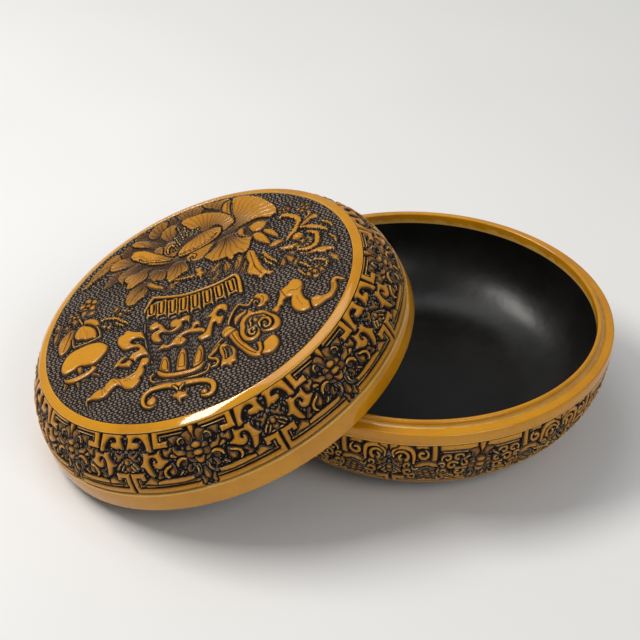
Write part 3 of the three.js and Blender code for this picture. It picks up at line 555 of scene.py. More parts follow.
def carve_lappets(c):
    """Three pointed lappets and the foot crescent, with the thin lines under it."""
    for outline, shift in (
            ([(-28.2, -42), (-27, -37.5), (-25.4, -33.8), (-23.9, -32.3), (-22.3, -34.4),
              (-22, -38.8), (-22.5, -42.5), (-23.2, -46.5), (-26.4, -45.6)], (-24.6, -40)),
            ([(-19.2, -48.2), (-17.9, -41.3), (-16.1, -36.3), (-13.3, -32.3), (-12, -35),
              (-12.3, -40), (-13.9, -50.4), (-16.6, -50)], (-15.1, -42)),
            ([(-10.3, -51.6), (-8.9, -45), (-6.4, -40), (-3.6, -36), (-2.6, -40),
              (-3.3, -45), (-5.4, -51.5), (-8, -52.2)], (-6.2, -45))):
        c.shape(outline, 0.9, 0.2)
        inner = np.array(shift) + (np.array(outline) - shift) * 0.62
        c.score(inner, 0.4, 0.42, closed=True)
    c.shape([
        (-29.7, -42.5), (-28.8, -46.3), (-25.8, -49.6), (-22, -51.8), (-18.3, -53.3), (-13.3, -54.9),
        (-8.9, -55.5), (-5.8, -54.6), (-3.9, -52.1), (-3.4, -50.4), (-5.1, -51.1), (-7.6, -52),
        (-11.4, -51.9), (-15.8, -50.6), (-20.1, -49), (-23.9, -46.9), (-26.4, -44.6), (-28.3, -42)],
        0.96, 0.25)
    c.stroke([
        (-31.8, -42.9), (-33.3, -44.4), (-33.6, -46.9), (-32, -49.4), (-29.5, -50.6), (-24.5, -52.8),
        (-19.5, -55.3), (-13.3, -57.8), (-8.3, -59.1), (-3.9, -59.1), (-2, -56.9), (-1.4, -54.7)], 1.3,
        0.8)
    c.stroke([(-31.6, -50.9), (-28, -52.2), (-22, -54.9), (-15, -58)], 0.7, 0.4)
    c.stroke([
        (-34.4, -66.3), (-36.9, -66.8), (-39.4, -64.4), (-40, -60.6), (-38.3, -56.4), (-34.8, -54.6),
        (-30.8, -55), (-25.8, -56.6), (-22, -58.8), (-17.6, -60.3), (-12.6, -61.9), (-7.6, -64.1),
        (-3.9, -66.9), (-2, -70), (-2, -73.8), (-3.6, -76.8), (-6, -77.3), (-8.1, -75.3),
        (-8.3, -72.7)],
        (2.6, 2.8, 2.2, 2.2, 2.5, 2.7, 3, 3.2, 3.3, 3.2, 3.2, 3.1, 3, 3, 3, 2.8, 2.5, 2.6, 2),
        0.97)
    c.shape([
        (-38.3, -63.6), (-36.6, -61.2), (-34.2, -60.4), (-32.7, -62.3), (-32.9, -64.8), (-34.6, -66.6),
        (-36.9, -66.2)], 0.97, 0.25)
    c.shape([(-9.3, -73.4), (-7.6, -71.6), (-5.9, -72.4), (-5.5, -74.4), (-7.2, -75.6)], 0.97, 0.25)
    c.stroke([(-22.3, -59.6), (-21, -62), (-20.2, -65.4)], (1.6, 1.2, 1.2), 0.9)
    c.stroke([(-16.9, -61.2), (-18.8, -62.9), (-20.2, -65.4)], (1.2, 1, 1.2), 0.9)
    c.shape([
        (-20.2, -64.4), (-21.8, -65.6), (-23.6, -65.4), (-24.2, -67.4), (-22.4, -69.2), (-21.8, -71.6),
        (-20.6, -74), (-19.6, -71.4), (-17.6, -71.6), (-15.9, -71.1), (-16.2, -68.6), (-15.6, -66.8),
        (-17.6, -66.8)], 0.92, 0.25)


COLLAR_TOP = [(-29.4, 11.2), (-27.6, 15.4), (-23.4, 18.6), (-20.1, 18.6), (-15.1, 15.5),
              (-9.5, 12.4), (-4.5, 10.2), (1.8, 8.8), (10.5, 7.8), (16.8, 7.8), (23, 8.4),
              (25.2, 7.4)]
COLLAR_FOOT = [(25.4, 1), (24.6, -7), (18.6, -6.2), (10.5, -6.4), (1.1, -6.3), (-2, -6.2),
               (-6.4, -4.4), (-11.4, -2.5), (-17, -1.9), (-20.1, 1.3), (-23.3, 2),
               (-25.1, 4.5), (-28.6, 7.6)]


def carve_collar(c):
    """The collar of upright flutes, and the thin mouth line above it. Each flute is a raised
    strip from a top to a foot point, pointed below, with a deep U cut round its tongue."""
    half, tongue = 2.9, 1.35
    c.shape(COLLAR_TOP + COLLAR_FOOT, 0.30, 0.10)
    tops = [(-24.9, 16.6), (-18.9, 15.8), (-12.6, 12.7), (-6.4, 10.2), (0.2, 8.4),
            (7, 7.3), (13.8, 7), (20.6, 7.2)]
    feet = [(-26.4, 5.8), (-21.0, 2.6), (-14.6, -0.9), (-8.6, -2.9), (-1.6, -5.4),
            (5.8, -6), (13.2, -5.9), (20.6, -6)]
    for (tx, ty), (fx, fy) in zip(tops, feet):
        top, foot = np.array((tx, ty)), np.array((fx, fy))
        along = (foot - top) / np.hypot(*(foot - top))
        side = np.array((-along[1], along[0]))
        middle, end = (top + foot) / 2, foot - 0.9 * along
        c.shape([top + half * side, top, top - half * side, middle - 2.8 * side,
                 foot - 3.0 * side + 0.2 * along, end - 1.5 * side, end, end + 1.5 * side,
                 foot + 3.0 * side + 0.2 * along, middle + 2.8 * side], 0.94, 0.14)
        heel = foot - 2.6 * along
        start, waist, bend = top + 0.8 * along, (top + heel) / 2, heel - 0.6 * along
        c.score([start + tongue * side, waist + 1.4 * side, bend + 1.15 * side,
                 heel + 0.3 * along, bend - 1.15 * side, waist - 1.4 * side,
                 start - tongue * side], 0.75, 0.95)
    c.stroke([
        (-29.8, 12.6), (-27, 17), (-23.3, 21.6), (-20.1, 20.1), (-15.1, 17), (-9.5, 13.9), (-4.5, 11.7),
        (1.8, 10.4), (10.5, 9.2), (16.8, 9.2), (23, 10.1), (24.9, 8.9), (25.6, 4.5), (25.3, -1.3),
        (24.9, -6.9)], (0.9, 1.2, 1.6, 1.6, 1.6, 1.6, 1.6, 1.6, 1.6, 1.6, 1.7, 2, 2, 2.2, 2.2),
        0.97)


def carve_fruit(c):
    """The round citron on its dish, with two leaves, a sepal and the sprig beside it."""
    c.shape([
        (-84.6, 26), (-82.4, 30.4), (-80, 31.8), (-81, 27.6), (-82.2, 23.6), (-84.8, 21.2)], 0.8,
        0.3)
    c.shape([(-83.4, 34), (-81.4, 37.4), (-78.6, 36.4), (-79.8, 32.8)], 0.75, 0.3)
    c.shape([
        (-82.3, 17), (-81.7, 19.5), (-79.5, 23), (-77, 25.8), (-73.9, 28.2), (-71.4, 27), (-70.8, 25.1),
        (-72, 22), (-73.3, 18.3), (-74.5, 14.5), (-77, 10.4), (-79.5, 8.6), (-81.7, 8.3), (-82.6, 12)],
        0.9, 0.22, base=(-73, 27), fall=0.25)
    c.score([(-79.4, 10.4), (-77.4, 15.4), (-75.2, 20.4), (-73.6, 25.4)], 0.5, 0.4)
    c.score([(-81, 14), (-78.6, 17.2)], 0.35, 0.25)
    c.score([(-79.8, 19.6), (-76.4, 22.2)], 0.35, 0.25)
    c.shape([
        (-72, 18.9), (-70.8, 22.6), (-68.3, 25.8), (-65.8, 26.1), (-63.9, 24.5), (-61.4, 22),
        (-59.5, 18.3), (-58.9, 13.9), (-59.8, 10.4), (-62.6, 11.4), (-65.8, 12.6), (-68.3, 14.5),
        (-70.8, 15.8)], 0.95, 0.2, base=(-66, 27), veins=13, vein_depth=0.12)
    c.shape([
        (-66.4, 28.9), (-63.9, 30), (-60.8, 29.4), (-57.6, 26.4), (-56.2, 22.6), (-57, 20.1),
        (-58.9, 20.1), (-60.8, 23.3), (-63.9, 26.4), (-66.1, 27)], 0.9, 0.2)
    c.stroke([
        (-73.3, 17.6), (-73.3, 11.4), (-70.8, 10.1), (-65.1, 9.2), (-59.5, 9.2), (-57.3, 10.1),
        (-57.3, 15.1), (-58.1, 19.8)], 0.9, 0.75)
    c.stroke([(-68, 35.4), (-67.4, 31.6), (-66.4, 28.4)], (0.7, 1, 1.2), 0.85)
    c.shape([
        (-82.2, -4.4), (-81.2, -0.4), (-78.8, 3.8), (-76.4, 5.8), (-73.3, 7), (-65.8, 7.3),
        (-60.8, 6.1), (-57, 3.9), (-54.3, 0.1), (-53.5, -1.7), (-54.3, -5.2), (-57, -8.4),
        (-60.1, -10.9), (-62, -11.7), (-64.5, -11.7), (-67, -10.6), (-70.1, -9.7), (-76.4, -10),
        (-80.1, -10.2), (-81.9, -7.7)], 1, 0.3)
    c.shape([(-73.2, -9.5), (-69.9, -9.5), (-70.6, -14.2), (-72.2, -14.4)], 0.85, 0.25)
    for tip, foot in (((-73.9, -25.8), (-74, -20.2)), ((-60.6, -24), (-65.4, -18.6)),
                      ((-82.2, -22.4), (-80.4, -17.4))):
        c.stroke([foot, ((foot[0] + tip[0]) / 2 + 0.4, (foot[1] + tip[1]) / 2), tip],
                 (2.6, 1.6, 0.4), 0.7)
    c.stroke([(-71.4, -21.2), (-68.6, -21.6), (-67, -22.9)], (0.6, 1.2, 0.4), 0.6)
    c.shape([
        (-81.2, -11.9), (-80.4, -13.8), (-78.3, -15.3), (-73.9, -15.9), (-69.5, -15.9), (-65.8, -15.3),
        (-64.5, -12.9), (-61.5, -15.4), (-63.3, -17.8), (-66.4, -19.4), (-71.4, -20.2), (-76.4, -19.9),
        (-79.5, -18.2), (-81.1, -15.6)], 0.94, 0.25)


def carve_small_blossom(c, centre, size, turn, level=0.85):
    """Five petals in a ring round a small dome."""
    for k in range(5):
        a = turn + 2 * math.pi * k / 5
        middle = (centre[0] + 0.62 * size * math.cos(a), centre[1] + 0.62 * size * math.sin(a))
        c.shape(ring_of(middle, (0.42 * size, 0.42 * size), 12), level, 0.3)
    c.shape(ring_of(centre, (0.28 * size, 0.28 * size), 10), level + 0.08, 0.3)


def carve_left_sprays(c):
    """The blossoms above the citron and the sprig with berries."""
    carve_small_blossom(c, (-61.2, 42.6), 6.0, 0.3)
    carve_small_blossom(c, (-70.8, 37.4), 4.0, 0.9)
    c.shape([(-66.6, 37.8), (-64.4, 39.4), (-62, 38.2), (-63.8, 35.4), (-66, 34.2)], 0.8, 0.25)
    c.shape([(-63, 34.6), (-60.4, 36.4), (-57.4, 35.2), (-58.6, 32.6), (-61.6, 32.8)], 0.78, 0.25)
    c.shape([(-72.4, 33.8), (-70.4, 35.6), (-68.6, 33.8), (-69.6, 30.6), (-71.8, 30.4)], 0.78, 0.25)
    c.shape([(-77.6, 30.8), (-75.2, 33.8), (-74.2, 31), (-75.6, 28.2)], 0.72, 0.25)
    c.stroke([
        (-55.2, 22.8), (-52.4, 22.8), (-49.2, 21.2), (-45.8, 18.3), (-42.8, 13.9), (-40.2, 9.4)],
        (0.8, 1.5, 1.7, 1.6, 1.5, 0.8), 0.88)
    c.stroke([(-46.9, 15.4), (-45.4, 12.6), (-43.4, 10.2)], (0.9, 1.1, 0.5), 0.8)
    for x, y, r in ((-53.9, 16.6, 1.5), (-51.2, 14, 1.5), (-43.4, 21.2, 1.5), (-40.2, 22.4, 1.3),
                    (-38.3, 20.6, 1.2)):
        c.shape(ring_of((x, y), (r, r), 12), 0.9, 0.25)
    c.shape([(-48.2, 25.4), (-46.4, 28.9), (-44.2, 29.6), (-43.4, 27.2), (-45.2, 25.2)], 0.82, 0.25)
    c.score([(-46.9, 26.2), (-44.6, 28.6)], 0.35, 0.3)


def carve_left_ribbon(c):
    """The ribbon at the vase's left: an upper loop with a curl, and a long lower tail."""
    c.shape([
        (-36.1, -26.1), (-34.5, -26.1), (-32.4, -27.5), (-32.4, -30.6), (-34.2, -32.7), (-35.9, -32.7),
        (-35.9, -35.6), (-37.1, -38.8), (-39, -40.5), (-39.3, -43.1), (-41.2, -45.5), (-43.9, -46.8),
        (-46.6, -45.8), (-48.5, -43.8), (-49.7, -41.3), (-51.4, -39.2), (-53.3, -38.9), (-55.8, -40.4),
        (-58.3, -42.8), (-60.8, -43.5), (-63.9, -42.9), (-67, -41.1), (-69.4, -40.8), (-70.2, -43.6),
        (-70.4, -46.3), (-71, -41.3), (-69.9, -38.7), (-67.6, -37.7), (-65.1, -36.1), (-62.6, -35.3),
        (-60.1, -35.7), (-58.3, -33.8), (-55.8, -31.7), (-53.3, -31.4), (-51.6, -32.5), (-49.5, -34.3),
        (-46.4, -34.9), (-43.3, -34.6), (-40.8, -33.6), (-39.2, -31.3), (-37.9, -28.8), (-37, -27)],
        0.95, 0.25)
    for points in ([(-52.6, -32.4), (-50.4, -36.4), (-49.6, -40.4)],
                   [(-54.2, -33.4), (-52.2, -36.6)], [(-59.4, -36.4), (-58.9, -39.8)],
                   [(-60.6, -36.8), (-60.9, -41.8)],
                   [(-48.8, -36), (-44.6, -37.2), (-40.6, -36.2)],
                   [(-48.6, -37.8), (-44.6, -39.2), (-41, -38.4)]):
        c.score(points, 0.4, 0.28)
    c.shape([
        (-52.9, -24.6), (-51.7, -21.3), (-48.9, -18.6), (-45.8, -17.6), (-43.9, -18.4), (-46.2, -19.8),
        (-47.9, -21.3), (-46.9, -22.6), (-45.1, -23), (-43.2, -21.7), (-41.8, -23.1), (-41.8, -25.8),
        (-43.9, -27.7), (-46.1, -26.5), (-48.3, -24.9), (-50.4, -23.3)], 0.92, 0.22)
    c.shape([
        (-48.1, -2.5), (-47.3, 0.2), (-45.8, 1.5), (-43.9, 1.5), (-42, 3.6), (-40.1, 3), (-38.3, 0.8),
        (-35.8, -1.4), (-33.2, -3.4), (-32.7, -6.3), (-32.5, -9.9), (-34.2, -8.6), (-37, -6.8),
        (-39.3, -6.5), (-40.5, -7.5), (-39.9, -9.6), (-38.3, -11.3), (-35.8, -12.7), (-34.3, -15.6),
        (-33.4, -18.1), (-32.1, -24.6), (-35.8, -23.5), (-38.3, -23.9), (-40.1, -25.2), (-41.9, -22.7),
        (-43.3, -21.3), (-42, -19.2), (-40.1, -18.2), (-36.9, -17.6), (-36.6, -16.3), (-37.8, -14.6),
        (-40.8, -13.3), (-43.9, -12.7), (-46, -10.6), (-47.2, -7.5), (-48.1, -5)], 0.97, 0.25)
    c.score([(-39.2, -7.6), (-41, -9.2), (-43.4, -9.8)], 0.4, 0.2)
    c.score([(-40.6, -22.2), (-38, -20.6), (-35, -21.2)], 0.4, 0.2)


def carve_ruyi(c):
    """The ruyi sceptre with its cloud head, curved staff, foot knob, tassel and ribbon line."""
    c.stroke([
        (13.6, -29.7), (15.5, -25), (18.6, -20), (21.8, -17.4), (24.3, -19.7), (26.8, -21.3),
        (29.3, -18.8), (31.2, -16.6)], (0.9, 1.3, 1.3, 1.5, 1.2, 1.2, 1.3, 1.4), 0.85)
    c.shape([
        (30.4, -16.8), (32.8, -14.8), (36.1, -16.5), (38.4, -19.8), (38.2, -24.4), (36.3, -25.2),
        (35.1, -27.1), (31.8, -27.1), (30.6, -25.2), (32.6, -23.6), (33.2, -21.2), (31.8, -18.8)], 0.92,
        0.25)
    c.score([(34.8, -18.4), (35.6, -21.2), (34.6, -24.4), (32.4, -25.4)], 0.4, 0.35)
    c.stroke([(29.6, -21.4), (30.8, -20.2), (32.2, -21.4)], (0.5, 1, 0.6), 0.75)
    c.shape([
        (17, -32.1), (17.2, -27.5), (19.9, -25.4), (24.9, -24.8), (24.5, -27), (21.3, -28.3),
        (18.8, -30.8)], 0.88, 0.2)
    c.stroke([
        (-0.5, -47.9), (1.1, -46.2), (3, -44.2), (4.9, -42.3), (6.8, -40.4), (10.2, -38.2)],
        (0.6, 1.3, 1.2, 1.2, 1.2, 0.9), 0.8)
    c.stroke([
        (6.2, -43.1), (3.9, -45.6), (1.4, -47.4), (-0.6, -49.2), (0.9, -51.3), (3, -53.2), (3.4, -56),
        (1.6, -57.9), (-1, -57.6)], (1.6, 2, 1.8, 1.3, 1.6, 1.7, 1.6, 1.4, 0.6), 0.88)
    c.shape([
        (6.1, -44.2), (5.3, -48.8), (5.9, -53.8), (4.7, -57.3), (4, -60.8), (6.6, -60.8),
        (9.3, -63.4), (10.6, -61.5), (12.9, -61.2), (13.2, -56.9), (14.1, -53.1), (13.2, -49.2),
        (11.1, -46.1), (9, -43.3)], 0.9, 0.22)
    c.shape([
        (8.4, -50), (9.1, -55.2), (11.1, -55.2), (11.5, -51.3), (10.5, -47.3), (9.4, -47.6)], 0.15,
        0.05)
    c.stroke([(8.2, -47), (8.6, -51.6), (8.1, -56)], 0.6, 0.98)
    c.shape([
        (12.2, -38.2), (12.8, -42.5), (14.7, -49.4), (17.2, -55.6), (19.7, -61.3), (22.8, -65),
        (26.3, -65.9), (27.7, -63.1), (28.3, -59.4), (27.6, -54.7), (25.3, -54.1), (25.5, -57.5),
        (24.9, -61), (23.2, -58.1), (20.7, -52.5), (18.8, -46.9), (18.2, -41.3), (17, -37.6)], 0.95,
        0.25)
    c.score([(14.3, -39.6), (15.5, -45.8), (17.9, -52.6), (20.6, -58.4), (23.6, -62.4)], 0.5, 0.5)
    c.score([(16.3, -39.2), (17.1, -45.4), (19.3, -51.8)], 0.35, 0.3)
    c.shape([
        (8.7, -35), (10.5, -32.3), (13.6, -31.2), (16.3, -34.8), (16.4, -36.7), (10.2, -39.4)], 0.97,
        0.25)
    c.score([(9.6, -36.6), (12.4, -34.4), (15.8, -34.8)], 0.45, 0.4)
    c.shape([
        (29.9, -55.4), (34.3, -53.6), (36.3, -55.6), (37, -60), (35.7, -63.8), (32.4, -66.8),
        (28.6, -66.5), (26.2, -64.4), (28, -61.3), (28.4, -57.5)], 1, 0.3)
    c.stroke([(26.6, -51.2), (31.5, -50.4), (35.6, -51.2)], 0.8, 0.55)
    for k in range(6):
        c.shape(ring_of((27.4 + 1.5 * k, -52.9 + 0.12 * k), (0.6, 0.6), 8), 0.8, 0.2)
    c.shape([
        (26.1, -24.9), (28.8, -28.9), (33, -30.1), (35.5, -32.9), (37, -35.6), (39.5, -39.4),
        (40.7, -43.8), (40.1, -48.1), (37.6, -50.5), (33.6, -50.2), (30.3, -48.1), (29.1, -45.4),
        (28.4, -48.8), (25.7, -51.4), (22.2, -51.1), (19.4, -48.3), (18.1, -42.5), (18.7, -38.1),
        (19.4, -33.8), (21.6, -29.8), (24.6, -27.9)], 0.9, 0.2)
    c.shape([
        (26.3, -31.4), (23, -34.4), (22.5, -38.4), (21.3, -42.3), (22.2, -46.4), (24.9, -48.2),
        (27, -45.6), (28.3, -41.6), (30, -45.2), (33.6, -47.2), (36.6, -45.2), (36.8, -41),
        (34.4, -36.4), (31, -33.2)], 0.22, 0.05)
    c.stroke([
        (26.3, -45.4), (25, -46.6), (23.4, -45.2), (23.4, -42.4), (25.6, -41.2), (26.2, -42.6),
        (25.2, -43.6)], (0.8, 1.3, 1.4, 1.5, 1.5, 1.4, 0.7), 0.9)
    c.stroke([
        (29.5, -42.4), (29.9, -38.8), (33, -37.2), (35.3, -40.4), (34.9, -44.4), (32.8, -45.4),
        (31.6, -43.8), (32.6, -42.6)], (0.9, 1.6, 1.7, 1.7, 1.4, 1.1, 0.9, 0.5), 0.92)
    c.shape(ring_of((32.2, -40.5), (1.3, 1.2), 12), 0.85, 0.3)
    c.shape([(27.8, -33.2), (29.8, -35.6), (29, -37.8), (27.2, -37.4), (26.4, -35.4)], 0.9, 0.3)
    c.stroke([(24.6, -39.8), (25.2, -37), (25, -34.8), (26.4, -32.9)], (0.6, 1.2, 1.3, 0.6), 0.8)
    c.stroke([(29.6, -33.4), (32.2, -34.4), (34, -36.2)], (0.5, 1.1, 0.6), 0.75)


def carve_right_ribbon(c):
    """The ribbon at the right: a knot with a hanging loop, and a tail that flies upwards."""
    c.shape([
        (49.7, -19), (51.6, -16.7), (54.3, -16.4), (57, -18.6), (57.9, -21.9), (57.2, -26.3),
        (56, -28.8), (56, -32.5), (56.6, -36.3), (58.2, -39.8), (58.5, -43.1), (57.6, -45.8),
        (54.6, -46.5), (51.6, -45.2), (49.4, -41.9), (48.4, -37.5), (49.1, -32.5), (49.7, -29.9),
        (46.1, -29.6), (44.9, -32.5), (44.3, -33.4), (42.9, -33.8), (42, -36.3), (39.9, -37.7),
        (37.8, -35), (37.8, -33.6), (40.5, -32.3), (42.2, -28.8), (44.1, -24.4), (44.7, -21.1),
        (47.4, -20)], 0.96, 0.25)
    c.score([(45.6, -21.4), (46.4, -25.6), (47.4, -29.2)], 0.45, 0.4)
    c.score([(48.6, -25.8), (51.4, -25.2), (53.2, -26.6), (56.8, -25.4)], 0.45, 0.4)
    c.score([(52.6, -31), (52.9, -36.2), (54, -41)], 0.4, 0.22)
    c.shape([
        (58.8, -39.5), (60.5, -37.9), (63.6, -38.2), (65.5, -39.8), (68.6, -39.8), (70.3, -37.9),
        (71.2, -35), (71.6, -31.9), (73.5, -29.2), (76.1, -29.2), (78.8, -32.5), (79.6, -35),
        (76.8, -33.9), (75.7, -32.1), (74.9, -33.1), (74.6, -37.5), (72.6, -41.3), (69.9, -44.6),
        (66.8, -45.2), (63.6, -46.5), (60.5, -47.1), (58.5, -45.2)], 0.93, 0.25)
    c.score([(60.4, -40.4), (64, -42), (68, -41.6)], 0.4, 0.22)
    c.score([(72.8, -33.2), (72.2, -38), (70, -41.4)], 0.4, 0.3)


def carve_petal(c, outline, base, level=0.93, sink=0.3, veins=15):
    """A peony petal: a shallow dish with a raised rim and veins that spread from its base."""
    c.shape(outline, level + 0.04, 0.10, rim=0.9, sink=0.4 * sink, base=base, fall=0.36,
            reach=13.0, veins=1.6 * veins, vein_depth=0.17)


def carve_peony_mass(c):
    """The half-deep mass that the petals of both peonies stand on."""
    c.shape([
        (-50, 66), (-47, 71), (-43, 74.6), (-32, 80.4), (-18, 84.6), (0, 86.6), (18, 85), (34, 80),
        (46, 73), (54, 62), (56, 52), (46, 44), (38, 36), (26, 36), (14, 38), (4, 41), (-8, 33),
        (-16, 36), (-24, 36), (-33, 40), (-37, 47), (-39, 54), (-42, 61)], 0.42, 0.12)


def carve_peony_right(c):
    """The right-hand peony: back petals, large fan petals, curled heart and its stamens."""
    carve_petal(c, [
        (1, 86.6), (2, 83), (6, 81.5), (11, 81), (15, 81.5), (17.5, 84), (15, 86.6), (11, 87.6),
        (5, 87.6)], (8, 76))
    carve_petal(c, [
        (17.4, 86), (19, 83), (23, 79.5), (27.2, 75.5), (27.5, 78), (30.3, 81), (33.6, 81.3),
        (31, 82.8), (25, 84.6), (20.4, 86)], (20, 72))
    carve_petal(c, [
        (35.5, 79.6), (38, 80.1), (43, 78.2), (48, 74.1), (51.1, 70.8), (53.6, 66.4), (56.1, 61.4),
        (57.3, 57), (57.1, 51.4), (54.9, 50.2), (52.4, 49.3), (49.9, 51.4), (46.8, 53.3), (41.8, 53.9),
        (35.5, 53.3), (30.5, 52), (26.1, 53.3), (24.9, 54.5), (29.3, 55.8), (32.4, 58.3), (33.6, 62),
        (33.2, 67), (34, 73.3)], (27, 56), 0.95, 0.25, 24)
    c.shape([
        (27.4, 73.3), (28, 77.6), (30.5, 80.3), (34, 80), (32.6, 75.8), (32.1, 71.4), (31.2, 68.1),
        (28.6, 70.8)], 0.88, 0.2, base=(31, 69), veins=14)
    c.score([(30, 71), (31, 75.6), (32, 79.4)], 0.45, 0.35)
    carve_petal(c, [
        (10.8, 38.9), (15.5, 41.4), (19.3, 44.5), (21.1, 48.7), (24.9, 49.4), (29.7, 49.4),
        (30.4, 45.8), (32.8, 42), (36.8, 39.5), (39.1, 37.6), (38, 34.3), (36.8, 30.8), (34.9, 27.4),
        (32.4, 26.8), (29.9, 28.7), (27.4, 28.7), (25.5, 25.6), (23.7, 26.8), (22.8, 29.3),
        (18.6, 30.2), (14.9, 31.2), (12.8, 34.5), (11.2, 37)], (26, 50), 0.95, 0.25, 18)
    c.score([(17.8, 31.6), (20.4, 36.4), (23.4, 43), (25, 48)], 0.4, 0.25)
    c.shape([
        (32.4, 48.7), (35.5, 50.8), (36.6, 48.3), (35.7, 44.5), (37.4, 40.3), (35.5, 41.2),
        (32.8, 44.5)], 0.85, 0.2)
    c.shape([
        (39.7, 48.3), (44.3, 50.3), (48.2, 48.3), (50.1, 45.8), (47.6, 41.8), (43.6, 40.6),
        (40.3, 43.3)], 0.9, 0.2, base=(41, 50), veins=13)
    c.shape([
        (40.3, 39.5), (43.8, 39.5), (46.3, 35.8), (47.6, 30.8), (48.2, 24.1), (45.3, 26.8), (41.6, 32),
        (40.3, 35.8)], 0.92, 0.2, base=(42, 41), veins=14)
    c.shape([
        (46.8, 39.7), (51.3, 37.2), (53.8, 30.8), (53.2, 27.2), (49.9, 31.8), (47.2, 35.8)], 0.9, 0.2,
        base=(47, 41), veins=14)
    carve_petal(c, [
        (3.7, 75.6), (2.8, 79.7), (6.1, 81), (10.5, 80.3), (14.3, 79.7), (18.6, 78.1), (23, 75.3),
        (27, 72.2), (30.1, 68.5), (32, 64.5), (32.2, 60.6), (29.9, 58.4), (26.1, 56.5), (24.7, 57),
        (24.7, 60.8), (22.8, 64.3), (20.5, 65.2), (18, 64.6), (15.5, 63.7), (12.4, 64.9), (9.7, 67),
        (7.2, 70.1), (4.7, 73.3)], (16, 60), 0.97, 0.26, 22)
    c.shape([
        (0, 45.4), (3.4, 48.8), (9, 49.2), (18, 49.2), (15.2, 44.2), (11.4, 40.4), (8, 38.2),
        (3.4, 39.6), (0.6, 42)], 0.8, 0.2, base=(12, 50), veins=16)
    c.stroke([
        (1.6, 41.4), (1.4, 44.4), (3.4, 45.8), (5.4, 44.4), (4.6, 42.6)], (0.8, 1.7, 1.9, 1.6, 0.7),
        0.94)
    carve_petal(c, [
        (-2, 55.1), (1.1, 58.3), (4.3, 60.1), (9.3, 62), (13.6, 63.1), (18.6, 62.8), (23.2, 61),
        (23.8, 57.6), (21.3, 53.7), (16.8, 51.2), (10.5, 49.3), (4.3, 49), (-2, 49.3), (-3.6, 52)],
        (11, 70), 1, 0.24, 20)
    c.stroke([
        (-2, 51.4), (4, 51.1), (10.4, 51.6), (16, 53.4), (20.4, 56.6)], (0.5, 0.9, 1, 1, 0.4), 0.98)
    for x, y, a in ((-3.6, 57.2, 1.9), (-1.4, 61, 1.8), (1.2, 63.6, 1.6), (3.8, 65.8, 1.5),
                    (6.6, 65.6, 1.2), (9.2, 65, 1.1), (-2.4, 65.6, 1.9), (0.6, 68.4, 1.7),
                    (3.2, 70.6, 1.5), (-0.2, 73.4, 1.7)):
        tip = (x + 3.4 * math.cos(a), y + 3.4 * math.sin(a))
        c.stroke([(x, y), tip], (0.7, 1), 0.86, steps=2)
        c.shape(ring_of(tip, (0.85, 0.85), 8), 0.95, 0.3)


